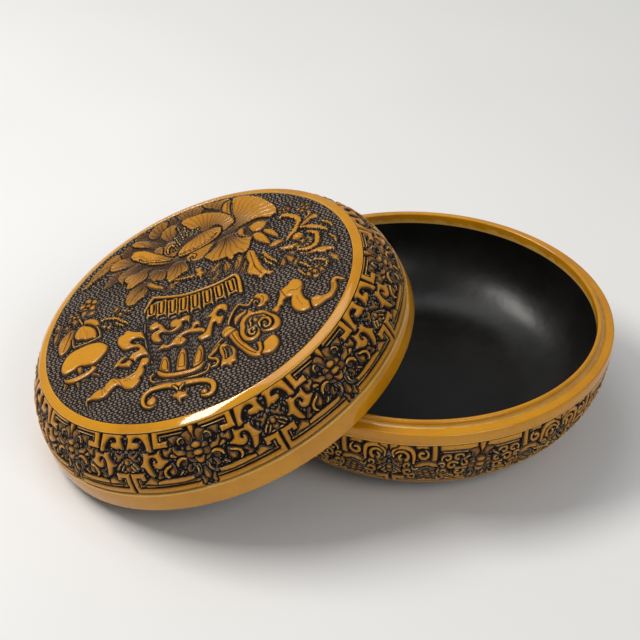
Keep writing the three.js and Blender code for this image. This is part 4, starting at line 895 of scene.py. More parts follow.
def carve_peony_left(c):
    """The left-hand peony, seen from the side, with the long leaf behind it."""
    c.shape([
        (-67, 58.5), (-64, 60.5), (-61, 60.2), (-59.5, 61.3), (-56, 63.5), (-50, 65.3), (-45.6, 67.3),
        (-43.6, 70), (-39.6, 71.4), (-36.6, 70), (-36.4, 74.6), (-40, 77.2), (-45, 75.8), (-50, 72.2),
        (-56, 68.2), (-62, 62.6)], 0.9, 0.15, rim=0.8, sink=0.15)
    for k in range(7):
        x, y = -60.5 + 3.4 * k, 62.6 + 1.5 * k
        c.score([(x, y), (x + 1.4, y + 2.2), (x + 4.2, y + 4.4)], 0.4, 0.25)
    carve_petal(c, [
        (-36, 71.3), (-37, 75), (-34.4, 79), (-31.2, 80.2), (-29, 78), (-31, 75), (-30, 72),
        (-32.8, 70.3)], (-31, 70), 0.9)
    carve_petal(c, [
        (-29.2, 79.2), (-26, 80.4), (-22, 78.4), (-17, 74.2), (-13.3, 70), (-14, 67.8), (-18, 69.8),
        (-23, 73.3), (-27.2, 76)], (-13, 66))
    carve_petal(c, [
        (-27.6, 82.4), (-24, 81.2), (-20.2, 80.4), (-18.6, 83.4), (-19.6, 85.6), (-23.6, 85.4)],
        (-18, 78), 0.86)
    carve_petal(c, [
        (-18.2, 82), (-15, 85.6), (-10.6, 87.2), (-7, 87), (-5.8, 84), (-9, 79.8), (-12.8, 77.3),
        (-16, 76.8), (-18.2, 79)], (-9, 73))
    carve_petal(c, [
        (-3.8, 86.4), (-4.6, 83.4), (-3, 81.6), (0.2, 81.8), (0.4, 84.6), (-0.6, 87)], (-2, 77), 0.85)
    carve_petal(c, [
        (-11.2, 74), (-9.7, 79), (-5, 80.7), (-0.8, 79.2), (-1.8, 74), (-4, 69.8), (-8, 69.3)],
        (-5, 64), 0.93, 0.28)
    carve_petal(c, [
        (-50.5, 52.3), (-49.7, 55), (-47.7, 58), (-44, 61.2), (-41, 62.5), (-38.3, 61), (-40, 57.6),
        (-41.3, 54.1), (-44, 54.8), (-46.5, 53.1)], (-39, 52), 0.88)
    carve_petal(c, [
        (-45.2, 66.8), (-43.2, 70.3), (-39, 71.5), (-35, 70.5), (-31, 67.7), (-26.8, 64.5), (-30, 62.3),
        (-35, 62.8), (-40, 63.3), (-44, 64.8)], (-26, 62), 0.93)
    carve_petal(c, [
        (-39.7, 49.3), (-41.2, 53.5), (-40.7, 57), (-37, 59.7), (-33, 60.5), (-27.8, 61), (-29.8, 55.1),
        (-33, 54.3), (-36.5, 52.3), (-38.5, 50.3)], (-27, 54), 0.92)
    carve_petal(c, [
        (-39.2, 28), (-38.7, 33), (-36, 37.7), (-32, 40.2), (-28, 41.2), (-24.8, 38), (-25.8, 32),
        (-28.3, 27.8), (-31, 27.1), (-34.5, 24.6), (-37.7, 25.1)], (-25, 42), 0.9, 0.24)
    c.score([(-37, 27.6), (-33.4, 31.6), (-28, 36.6)], 0.45, 0.35)
    carve_petal(c, [
        (-37.7, 51), (-36.2, 46), (-37.7, 41.8), (-34, 40.8), (-30, 42.3), (-26.5, 42.8), (-23.8, 46),
        (-23.3, 49.5), (-21.8, 51.5), (-26, 53.2), (-30, 52.7), (-34, 53.7)], (-22, 54), 0.96, 0.25)
    c.shape([
        (-25.2, 38), (-22, 36.7), (-18.8, 32), (-15.8, 28.5), (-17, 26.3), (-20, 28.8), (-23.2, 32),
        (-25.2, 35)], 0.86, 0.22, base=(-25, 38), veins=15)
    carve_petal(c, [
        (-22.7, 42), (-22.2, 46), (-19.5, 47.9), (-17, 45.7), (-14, 44.2), (-12.8, 41), (-13.8, 37.3),
        (-16.5, 35.3), (-19, 37.3), (-21.7, 37.8)], (-13, 50), 0.9)
    carve_petal(c, [
        (-12.8, 37), (-11.7, 41.5), (-8, 45.2), (-4, 45.7), (-1.3, 43), (0.2, 38), (-0.8, 34),
        (-5, 32.8), (-9, 30.8), (-12, 30.1), (-13.2, 33)], (-4, 48), 0.94)
    for outline in ([(-17.2, 64), (-15.2, 67.2), (-12, 66.2), (-12.3, 62), (-14.3, 59.8)],
                    [(-11.7, 60), (-10.2, 65.2), (-7, 67.2), (-4, 65.2), (-2.8, 60), (-4, 54.8),
                     (-7, 52.8), (-10, 54.8)]):
        c.shape(outline, 0.92, 0.15, rim=0.8, sink=0.25)
    c.stroke([
        (-9.2, 57.6), (-8.8, 61.6), (-6.6, 63.8), (-5, 61.6), (-5.8, 58)], (0.7, 1.1, 1.1, 1.1, 0.7),
        0.97)
    carve_petal(c, [
        (-31.2, 69), (-29, 71.7), (-26, 71.2), (-22, 68.7), (-18, 64.2), (-14, 59.7), (-10, 54.7),
        (-5.5, 50.7), (-3.8, 48.5), (-8, 48.3), (-13, 49.8), (-17, 51.8), (-21, 54.8), (-24, 58.3),
        (-27, 62.3), (-30, 65.8)], (-4, 48), 0.98, 0.2, 16)
    c.stroke([
        (-26.6, 63.6), (-25, 60.2), (-20, 56.8), (-14, 53), (-8.6, 50.4)], (0.4, 0.9, 1, 0.9, 0.4),
        0.99)


def carve_right_leaves(c):
    """The long leaves and leaflets that hang from the right-hand peony beside the collar."""
    c.shape([
        (33.4, 23.3), (35.5, 26), (38.2, 24.5), (38.8, 20.1), (39.5, 13.9), (40.1, 7.6), (42, 2.2),
        (45.4, -2.1), (43, -3.3), (40.5, -1.5), (38, -3.3), (36.2, -1.3), (35.3, 1.3), (31.6, 5.1),
        (31.6, 9.5), (33.4, 14.5), (32.8, 18.3)], 0.94, 0.22, base=(36, 26), veins=17, vein_depth=0.1)
    c.score([(35.9, 24.4), (36, 16), (36.4, 8), (38.8, 0.4)], 0.5, 0.4)
    c.score([(33.4, 7.2), (35.6, 10.4)], 0.4, 0.3)
    for outline in ([(19.7, 14.3), (18.9, 19.4), (21.1, 26), (23.8, 22), (23.2, 18.1)],
                    [(24.7, 12.4), (25.2, 18.4), (28, 23.5), (31.3, 24.7), (30.7, 21.2),
                     (28.2, 14.9)],
                    [(27.4, 8.1), (27.8, 12.4), (29.9, 15.6), (32.6, 18.5), (32, 13.6),
                     (30, 9.8)]):
        line = np.array(outline)
        c.shape(line, 0.86, 0.25, base=line[0], fall=0.2)
        c.score([line[0] + (0.8, 1.6), line.mean(0), line[2] * 0.8 + line.mean(0) * 0.2], 0.4, 0.4)
    for outline, middle in (
            ([(-17.8, 22.4), (-16.6, 25), (-14, 26), (-12.2, 28.4), (-9.6, 28), (-8.4, 30.4),
              (-4.6, 30.2), (-6.6, 26.6), (-9.2, 25.6), (-10.4, 23.2), (-13.4, 23)], (-11, 26)),
            ([(8.6, 21), (9.4, 24.2), (12, 24.8), (12.6, 27.2), (15.6, 27), (17.4, 29),
              (18.4, 25.2), (16, 23.8), (15.8, 21.4), (12.6, 21.4)], (13.2, 24)),
            ([(9.6, 13.6), (10.6, 17), (13, 17.8), (14, 20.2), (17, 20.6), (16.6, 17.2),
              (14.8, 16.2), (14.4, 13.8)], (13, 16.8))):
        line = np.array(outline)
        c.shape(line, 0.84, 0.25, base=line[0], fall=0.15, veins=19, vein_depth=0.2)
        c.score([line[0] * 0.8 + np.array(middle) * 0.2, middle,
                 line[len(line) // 2] * 0.6 + np.array(middle) * 0.4], 0.45, 0.45)
    c.stroke([
        (-12.6, 33), (-8.2, 29.4), (-1.6, 26.6), (5.4, 25.4), (9.4, 26)], (0.6, 1.3, 1.5, 1.4, 0.7),
        0.88)
    for k in range(9):
        c.shape(ring_of((-7.4 + 1.6 * k, 31.2 - 0.42 * k), (0.75, 0.7), 8), 0.86, 0.3)
    c.shape([
        (3.2, 31), (4.4, 27), (2.6, 24.4), (4.8, 23.4), (5.6, 18.6), (6.8, 23.4), (9, 24.6),
        (7.2, 27), (7.6, 31)], 0.94, 0.28, smooth=False)


def carve_right_flowers(c):
    """The smaller blossoms, buds and strap leaves between the right-hand peony and ribbon."""
    c.stroke([
        (58, 43.7), (60.5, 44.7), (64.3, 41), (66.9, 37), (66.9, 32.6), (63.7, 27), (60.5, 23.9),
        (57, 20)], (1, 2.6, 3, 3, 3, 2.8, 2.2, 0.8), 0.94)
    c.stroke([(73.6, 39), (74.2, 36), (72.2, 33.2), (68.4, 30)], (0.8, 1.8, 2.2, 0.9), 0.88)
    carve_small_blossom(c, (72.2, 44), 4.2, 0.5)
    carve_small_blossom(c, (61.2, 50.2), 3.8, 1.1, level=0.8)
    c.shape([
        (66.6, 28.3), (69.8, 31.2), (76.1, 34.2), (78.6, 32), (77.6, 29.2), (73.6, 29.6), (69.8, 27.2)],
        0.86, 0.22, base=(66, 28), veins=15)
    c.stroke([(67.2, 26.6), (72.2, 23.6), (76.6, 19.6), (80.4, 14)], (1.2, 3, 2.8, 0.9), 0.9)
    c.stroke([(79.2, 24.6), (82, 20.6), (83.6, 15.8)], (1, 2.2, 0.8), 0.8)
    c.stroke([(43, 18.9), (44.6, 13), (48.2, 5.6)], (1, 2.4, 0.8), 0.88)
    c.stroke([(42.4, 13), (43.8, 8.2), (46.4, 3.2)], (0.8, 1.6, 0.6), 0.8)
    c.shape([
        (46.4, 21.8), (49.4, 24.8), (53.6, 24.6), (56.2, 21.2), (52.6, 19.8), (49.2, 20)], 0.84, 0.25,
        base=(56, 21), veins=13)
    for outline in ([(53.4, 9.6), (49.7, 2), (51.1, -0.8), (53.2, 1.2), (54.4, 5)],
                    [(54.2, 9.4), (53.8, 2.6), (56.1, -2), (58.2, 2), (56.8, 6.2)],
                    [(55, 10), (57.6, 5.2), (60.1, 7), (57.6, 10)]):
        c.shape(outline, 0.84, 0.25, base=(54, 10), fall=0.2, veins=16)
    c.shape([
        (52.8, 15.8), (58, 14.7), (63.2, 13.5), (62.6, 10.6), (57.4, 11.2), (52.8, 13.7)], 0.95, 0.22)
    c.stroke([
        (70.1, 19.7), (73.8, 15.1), (73.2, 8.7), (70.5, 4.9), (65.5, 4.9), (61.6, 7.6)],
        (1.2, 2.6, 3, 3, 2.6, 1.2), 0.93)
    for k in range(9):
        a = math.radians(200 + 24 * k)
        c.stroke([
            (65.5 + 1.2 * math.cos(a), 12.6 + 1.2 * math.sin(a)),
            (65.5 + 4.6 * math.cos(a), 12.6 + 4.6 * math.sin(a))], (0.6, 1.2), 0.8, steps=2)
    c.shape(ring_of((65.5, 13.4), (1.9, 1.6), 12), 0.9, 0.3)
    c.shape(ring_of((63.7, 19.6), (3.4, 3.2), 14), 1, 0.35)
    c.score(ring_of((63.4, 19.4), (1.7, 1.6), 12), 0.4, 0.3, closed=True)
    c.shape([
        (61.6, 4.5), (65.5, 1.7), (69.9, 1.7), (73.2, 1.5), (76.9, -0.4), (80.1, -2.9), (80.3, -6.5),
        (77.4, -4.6), (73, -4.6), (70.3, -1.5), (66.8, -0.8), (63.4, 1.7)], 0.9, 0.22)
    c.stroke([(80.8, 8.6), (82.6, 4.2), (82.4, 0.2)], (0.8, 2, 0.8), 0.78)
    for outline in ([(62, -14.8), (59.8, -17.4), (62.6, -19.6), (64.5, -17.8)],
                    [(64.1, -19.6), (64.3, -22.6), (66.8, -23.6), (68, -20.4)],
                    [(68.6, -19.4), (71.2, -19.6), (71, -15.8), (68.6, -15.6)],
                    [(66, -15.4), (66.8, -12.8), (69.6, -13.2), (68.6, -15.8)],
                    [(62.2, -14), (63.6, -12.2), (65.6, -13.2), (65, -15.6)]):
        c.shape(outline, 0.84, 0.25)
    c.shape(ring_of((66.2, -17.4), (1.7, 1.7), 12), 0.92, 0.3)
    c.stroke([(59.7, -4.2), (61.6, -6.6), (63.2, -9.4), (64.6, -12)], (0.8, 1.5, 1.4, 0.7), 0.86)
    c.stroke([
        (65.9, -7.3), (69.4, -8.2), (72.6, -10.6), (73.8, -14), (72.2, -17.6)],
        (0.7, 1.5, 1.7, 1.5, 0.7), 0.86)
    c.stroke([(57.8, -10.4), (59.1, -12.7), (60.6, -16.8)], (0.7, 1.4, 0.7), 0.82)
    c.shape([
        (75.6, -8.2), (78.4, -9.2), (80.8, -12.6), (80.2, -16.6), (77.4, -13.8)], 0.85, 0.25,
        base=(75, -8), veins=13)
    c.shape([(57, -5.2), (59.2, -3), (60.4, -0.4), (58, 0), (56.2, -2.2)], 0.78, 0.25)


def panel_carving():
    """The whole picture, from the ground up; leaves and petals get ragged edges."""
    reach = PANEL_RADIUS + 2
    c = Carving(-reach, reach, -reach, reach)
    woven_ground(c)
    carve_vase(c)
    carve_fruit(c)
    carve_left_ribbon(c)
    carve_ruyi(c)
    carve_right_ribbon(c)
    c.ragged = 0.5
    carve_left_sprays(c)
    carve_right_leaves(c)
    carve_right_flowers(c)
    c.ragged = 0.3
    carve_peony_mass(c)
    carve_peony_left(c)
    carve_peony_right(c)
    return c


# Meshes: points are millimetres in a half's own frame, then placed and made metres

def place(points, body):
    """Base: moved along X. Lid: x runs up the lean, y to the back, and the third value along
    the lid's own axis."""
    p = np.asarray(points, float)
    if body == "base":
        world = p + (BASE_CENTRE, 0, 0)
    else:
        turn = np.array([[math.cos(LID_LEAN), 0, math.sin(LID_LEAN)], [0, 1, 0],
                         [-math.sin(LID_LEAN), 0, math.cos(LID_LEAN)]])
        world = p @ turn + LID_CENTRE
    return world * MM


def grid_quads(rows, cols, wrap_rows=False, wrap_cols=False):
    """Quads over a grid of points numbered row by row."""
    i = np.arange(rows if wrap_rows else rows - 1)[:, None]
    j = np.arange(cols if wrap_cols else cols - 1)[None, :]
    i2, j2 = (i + 1) % rows, (j + 1) % cols
    corners = np.broadcast_arrays(i * cols + j, i * cols + j2, i2 * cols + j2, i2 * cols + j)
    return np.stack(corners, -1).reshape(-1, 4)


def make_piece(name, points, faces, body, node, material, marks=None, sharp=35.0):
    """A closed mesh, smooth but for edges over an angle. Each of faces is an array with one
    row of corners per face, and marks are values for the points that the material reads."""
    counts = np.concatenate([np.full(len(part), part.shape[1]) for part in faces])
    corners = np.concatenate([part.ravel() for part in faces])
    mesh = bpy.data.meshes.new(name)
    mesh.vertices.add(len(points))
    mesh.vertices.foreach_set("co", place(points, body).astype(np.float32).ravel())
    mesh.loops.add(len(corners))
    mesh.loops.foreach_set("vertex_index", corners.astype(np.int32))
    mesh.polygons.add(len(counts))
    starts = np.concatenate([[0], np.cumsum(counts)[:-1]]).astype(np.int32)
    mesh.polygons.foreach_set("loop_start", starts)
    mesh.update(calc_edges=True)
    mesh.validate()
    mesh.shade_smooth()
    mesh.set_sharp_from_angle(angle=math.radians(sharp))
    for key, values in (marks or {}).items():
        mark = mesh.attributes.new(key, "FLOAT", "POINT")
        mark.data.foreach_set("value", np.ascontiguousarray(values, np.float32).ravel())
    obj = bpy.data.objects.new(name, mesh)
    bpy.context.scene.collection.objects.link(obj)
    mesh.materials.append(material)
    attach(obj, body)
    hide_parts(node)


def outward_loop(profile):
    """The closed profile (radius, height) turned so that its revolved quads face outwards."""
    r, h = profile[:, 0], profile[:, 1]
    area = np.sum(r * np.roll(h, -1) - np.roll(r, -1) * h)
    return profile if area > 0 else profile[::-1]


def spin(line):
    """Surface of revolution: each profile point (r, h) goes to (r cos a, r sin a, h)."""
    a = np.linspace(0, 2 * math.pi, TURNS, endpoint=False)[None, :]
    r, h = line[:, :1], line[:, 1:]
    points = np.stack([r * np.cos(a), r * np.sin(a), h + 0 * a], -1)
    return points.reshape(-1, 3)


def sharp_turn_nearness(line):
    """For each point of a closed profile, how near it is to a sharp turn: exp(-(d / reach)^2),
    where d is the distance along the profile to the nearest turn over the limit."""
    reach, limit = 0.8, math.radians(20)
    step = np.roll(line, -1, 0) - line
    length = np.hypot(step[:, 0], step[:, 1])
    angle = np.unwrap(np.arctan2(step[:, 1], step[:, 0]))
    turn = np.abs((np.roll(angle, 1) - angle + math.pi) % (2 * math.pi) - math.pi)
    along = np.concatenate([[0], np.cumsum(length)[:-1]])
    total = length.sum()
    sharp = along[turn > limit]
    gap = np.abs(along[:, None] - sharp[None, :])
    gap = np.minimum(gap, total - gap).min(1)
    return np.exp(-(gap / reach) ** 2)


def ring_piece(name, profile, body, node, material):
    """A ring: the closed profile revolved, with each point marked by how near it is to a sharp turn."""
    line = outward_loop(np.asarray(profile, float))
    marks = {"sharp_turn_nearness": np.repeat(sharp_turn_nearness(line), TURNS)}
    make_piece(name, spin(line), [grid_quads(len(line), TURNS, True, True)], body, node,
               material, marks, 50.0)


def disc_piece(name, profile, body, node, material):
    """A plate or cup: the profile starts at the axis on the upper side and ends at the axis
    on the under side, and two fans close it there."""
    line = np.asarray(profile, float)
    middle = line[1:-1]
    points = np.vstack([spin(middle), [(0, 0, line[0, 1]), (0, 0, line[-1, 1])]])
    quads = grid_quads(len(middle), TURNS, False, True)[:, ::-1]
    first = np.arange(TURNS)
    second = (first + 1) % TURNS
    last = (len(middle) - 1) * TURNS
    top = np.full(TURNS, len(points) - 2)
    upper = np.stack([top, first, second], 1)
    under = np.stack([top + 1, last + second, last + first], 1)
    make_piece(name, points, [quads, upper, under], body, node, material)


# Carved bands: a skin of revolution sunk along its normal by the carving

class Skin:
    """An ellipse arc (radius, height) measured by its length from the start."""

    def __init__(self, centre, reach, start, end):
        self.centre, self.reach = centre, reach
        self.angle = np.linspace(start, end, 2000)
        p = self.at_angle(self.angle, 0)
        steps = np.hypot(*np.diff(p, axis=0).T)
        self.along = np.concatenate([[0], np.cumsum(steps)])
        self.length = self.along[-1]

    def at_angle(self, angle, sunk):
        """The point at that angle, moved inwards along the ellipse's normal by sunk."""
        c, s = np.cos(angle), np.sin(angle)
        nr, nh = c / self.reach[0], s / self.reach[1]
        size = np.hypot(nr, nh)
        r = self.centre[0] + self.reach[0] * c - sunk * nr / size
        h = self.centre[1] + self.reach[1] * s - sunk * nh / size
        return np.stack(np.broadcast_arrays(r, h), -1)

    def at(self, length, sunk):
        """The point at that length along the arc, moved inwards by sunk."""
        return self.at_angle(np.interp(length, self.along, self.angle), sunk)


def band_panel(name, skin, lengths, first, last, look, depth, body, node, material):
    """One repeat of a band as a closed body. Over a grid of angle a and length v along the
    skin, the outer face is the skin sunk by depth * (1 - carved height at (a, v)); the inner
    face is the skin sunk by the coat's thickness, and both ends are flat."""
    a = np.linspace(first, last, BAND_COLUMNS)[None, :]
    v = np.asarray(lengths, float)[:, None]
    height, edge = look(a + 0 * v, v + 0 * a)
    outer = skin.at(v + 0 * a, depth * (1 - height))
    back = np.linspace(lengths[-1], lengths[0], BACK_ROWS)[:, None]
    inner = skin.at(back + 0 * a, COAT)
    line = np.concatenate([outer, inner])
    rows = len(line)
    points = np.stack([line[..., 0] * np.cos(a), line[..., 0] * np.sin(a), line[..., 1]], -1)
    rising = skin.at(lengths[-1], 0.0)[1] > skin.at(lengths[0], 0.0)[1]
    start = np.arange(rows)[None, :] * BAND_COLUMNS
    faces = [grid_quads(rows, BAND_COLUMNS, True, False), start[:, ::-1],
             start + BAND_COLUMNS - 1]
    if not rising:
        faces = [part[:, ::-1] for part in faces]
    flat = np.zeros(inner.shape[:2])
    marks = {"carved_depth": np.concatenate([height, flat]),
             "carved_edge": np.concatenate([edge, flat])}
    make_piece(name, points.reshape(-1, 3), faces, body, node, material,
               marks, 60.0)


def band_look(carving, repeats, flower_angle, to_pattern):
    """Heights and edges at (angle, length): the angle is folded at each flower and each
    seam, with a slow hand-cut waver, and the length goes through to_pattern."""
    edges = carving.height_over_surroundings()
    span = 2 * math.pi / repeats

    def look(a, v):
        """Height and height over the surroundings at each angle and length."""
        waver = 0.16 * np.sin(9.3 * a + 0.31 * v) + 0.12 * np.sin(23.7 * a - 0.22 * v)
        turn = a + waver / BAND_RADIUS - math.radians(flower_angle)
        fold = np.abs((turn + span / 2) % span - span / 2) * BAND_RADIUS
        row, border = to_pattern(v + 0.15 * np.sin(7.1 * a + 1.3) + 0.1 * np.sin(17.9 * a))
        height = carving.sample(carving.height, fold, row)
        edge = carving.sample(edges, fold, row)
        height = np.where(border > 0, border, height)
        return height, np.where(border > 0, 0.0, edge)

    return look


def lid_pattern(v):
    """Lid: the pattern's height is the length along the shoulder; no border."""
    return v, np.zeros_like(v)


def base_pattern(v):
    """Base: the pattern starts under the plain rim and is drawn out towards the foot, where
    a smooth border follows it."""
    start, drawn_out, border_slope = 0.4, 1.2, 0.3
    row = BAND_HEIGHT + 0.1 - (v - start) / drawn_out
    border = np.where(v > BASE_PATTERN_END, ease((v - BASE_PATTERN_END) / border_slope), 0.0)
    return row, border


# The lid's round panel

def disc_map(s, t):
    """Square to disc: concentric squares become concentric circles, at even angles."""
    with np.errstate(divide="ignore", invalid="ignore"):
        wide = np.abs(s) >= np.abs(t)
        r = np.where(wide, s, t)
        turn = np.where(wide, math.pi / 4 * t / s, math.pi / 2 - math.pi / 4 * s / t)
    turn = np.where(r == 0, 0.0, turn)
    return r * np.cos(turn), r * np.sin(turn)


def panel_quarter(name, carving, edges, s_range, t_range, material):
    """A quarter of the panel as a closed body: the dome sunk by PANEL_DEPTH * (1 - carved
    height), with straight sides down to a flat back. The drawing lies PANEL_SHIFT off the
    middle and is drawn out by DRAWN_OUT beyond the line y = DRAWN_OUT_FROM."""
    n = PANEL_GRID
    s, t = np.meshgrid(np.linspace(*s_range, n), np.linspace(*t_range, n))
    x, y = disc_map(s, t)
    x, y = x * PANEL_RADIUS, y * PANEL_RADIUS
    drawn_x, drawn_y = x - PANEL_SHIFT[0], y - PANEL_SHIFT[1]
    beyond = np.maximum(drawn_y - DRAWN_OUT_FROM, 0)
    drawn_y = drawn_y - beyond + beyond / DRAWN_OUT
    height = carving.sample(carving.height, drawn_x, drawn_y)
    edge = carving.sample(edges, drawn_x, drawn_y)
    dome = PANEL_EDGE + PANEL_DOME * (1 - (x ** 2 + y ** 2) / PANEL_RADIUS ** 2)
    top = np.stack([x, y, dome - PANEL_DEPTH * (1 - height)], -1).reshape(-1, 3)
    k = np.arange(n - 1)
    loop = np.concatenate([k, k * n + n - 1, n * n - 1 - k, (n - 1 - k) * n])
    back = top[loop].copy()
    back[:, 2] = PANEL_SEAT
    below = n * n + np.arange(len(loop))
    sides = np.stack([below, np.roll(below, -1), np.roll(loop, -1), loop], -1)
    flat = np.zeros(len(loop))
    marks = {"carved_depth": np.concatenate([height.ravel(), flat]),
             "carved_edge": np.concatenate([edge.ravel(), flat])}
    make_piece(name, np.vstack([top, back]), [grid_quads(n, n), sides, below[None, ::-1]], "lid",
               "lid_top_panel", material, marks, 60.0)


# Materials: colours as linear red, green and blue; noise and cells are scaled per metre, and
# bumps are in metres

# Painted light among these colours: the pale grey of the ground's dash tips is a painted glint, the
# darker ochre and the amber are painted shade, the dark and brown cut colours are partly the lacquer's
# layers and partly painted shade, and the pale edge colour is worn edges with a painted highlight.
GROUND_DARK = (0.013, 0.008, 0.006)
GROUND_PAINTED_GLINT = (0.225, 0.180, 0.145)
DARK_CUT_AND_PAINTED_SHADE = (0.022, 0.011, 0.004)
BROWN_CUT_AND_PAINTED_SHADE = (0.095, 0.038, 0.004)
AMBER_PAINTED_SHADE = (0.290, 0.118, 0.005)
OCHRE_PAINTED_SHADE = (0.450, 0.185, 0.005)
OCHRE_TOP = (0.560, 0.242, 0.005)
OCHRE_CLOUD = (0.360, 0.140, 0.005)
RUBBED_AND_HIGHLIT_EDGE = (0.780, 0.510, 0.160)
OCHRE_POLISHED = (0.580, 0.252, 0.005)
OCHRE_POLISHED_DEEP = (0.470, 0.190, 0.005)
BLACK_LACQUER = (0.0045, 0.0045, 0.0042)
BLACK_CLOUD = (0.0085, 0.0082, 0.0075)
BLACK_DUST = (0.060, 0.055, 0.045)
BLACK_WORN = (0.050, 0.036, 0.022)
WOOD_PALE = (0.42, 0.27, 0.14)
WOOD_DARK = (0.30, 0.17, 0.08)
WOOD_PORE = (0.20, 0.11, 0.05)
FLOOR_PALE = (0.80, 0.80, 0.79)
FLOOR_GREY = (0.77, 0.77, 0.765)


class Nodes:
    """A material's node tree, with a method for each kind of node used here."""

    def __init__(self, name):
        self.material = bpy.data.materials.new(name)
        self.material.use_nodes = True
        self.tree = self.material.node_tree
        self.tree.nodes.clear()
        self.place = self.add("ShaderNodeTexCoord").outputs["Object"]

    def add(self, kind, **settings):
        """A new node with its settings."""
        node = self.tree.nodes.new(kind)
        for key, value in settings.items():
            setattr(node, key, value)
        return node

    def feed(self, socket, value):
        """Links another node's output to the socket, or sets the socket's own number."""
        if isinstance(value, bpy.types.NodeSocket):
            self.tree.links.new(value, socket)
        else:
            socket.default_value = value

    def attribute(self, name):
        """A value that the mesh carries for each point."""
        return self.add("ShaderNodeAttribute", attribute_name=name).outputs["Fac"]

    def math(self, operation, a, b=0.0, c=0.0):
        """One step of arithmetic on up to three values."""
        node = self.add("ShaderNodeMath", operation=operation)
        for socket, value in zip(node.inputs, (a, b, c)):
            self.feed(socket, value)
        return node.outputs[0]

    def between(self, value, low, high, start=0.0, end=1.0):
        """A value's place between low and high, as a number from start to end."""
        node = self.add("ShaderNodeMapRange", interpolation_type="SMOOTHSTEP")
        for socket, number in zip(node.inputs, (value, low, high, start, end)):
            self.feed(socket, number)
        return node.outputs[0]

    def stretched(self, scale):
        """Object coordinates times that scale along each axis."""
        node = self.add("ShaderNodeMapping")
        self.feed(node.inputs["Vector"], self.place)
        node.inputs["Scale"].default_value = scale
        return node.outputs[0]

    def noise(self, scale, detail=3.0, roughness=0.5, vector=None):
        """Clouds at that scale, over the object's own coordinates unless told otherwise."""
        node = self.add("ShaderNodeTexNoise")
        self.feed(node.inputs["Vector"], vector or self.place)
        self.feed(node.inputs["Scale"], scale)
        self.feed(node.inputs["Detail"], detail)
        self.feed(node.inputs["Roughness"], roughness)
        return node.outputs[0]

    def cells(self, scale):
        """The distance to the nearest of scattered points."""
        node = self.add("ShaderNodeTexVoronoi")
        self.feed(node.inputs["Vector"], self.place)
        self.feed(node.inputs["Scale"], scale)
        return node.outputs["Distance"]

    def ramp(self, factor, stops):
        """A colour for each place of the factor between the stops."""
        node = self.add("ShaderNodeValToRGB")
        self.feed(node.inputs[0], factor)
        steps = node.color_ramp.elements
        while len(steps) < len(stops):
            steps.new(0.5)
        for step, (position, colour) in zip(steps, stops):
            step.position = position
            step.color = (*colour, 1)
        return node.outputs[0]

    def mix(self, factor, a, b):
        """Colour a where the factor is 0 and colour b where it is 1."""
        node = self.add("ShaderNodeMix", data_type="RGBA")
        self.feed(node.inputs[0], factor)
        for socket, value in zip((node.inputs[6], node.inputs[7]), (a, b)):
            self.feed(socket, value if isinstance(value, bpy.types.NodeSocket) else (*value, 1))
        return node.outputs[2]

    def bump(self, height, distance, strength, normal=None):
        """The surface direction with relief of that depth, on top of an earlier one if given."""
        node = self.add("ShaderNodeBump")
        self.feed(node.inputs["Strength"], strength)
        self.feed(node.inputs["Distance"], distance)
        self.feed(node.inputs["Height"], height)
        if normal is not None:
            self.feed(node.inputs["Normal"], normal)
        return node.outputs[0]

    def finish(self, colour, roughness, normal, **numbers):
        """The shader with its output, and the finished material."""
        shader = self.add("ShaderNodeBsdfPrincipled")
        self.feed(shader.inputs["Base Color"], colour)
        self.feed(shader.inputs["Roughness"], roughness)
        self.feed(shader.inputs["Normal"], normal)
        for key, value in numbers.items():
            self.feed(shader.inputs[key.replace("_", " ")], value)
        out = self.add("ShaderNodeOutputMaterial")
        self.tree.links.new(shader.outputs[0], out.inputs[0])
        return self.material


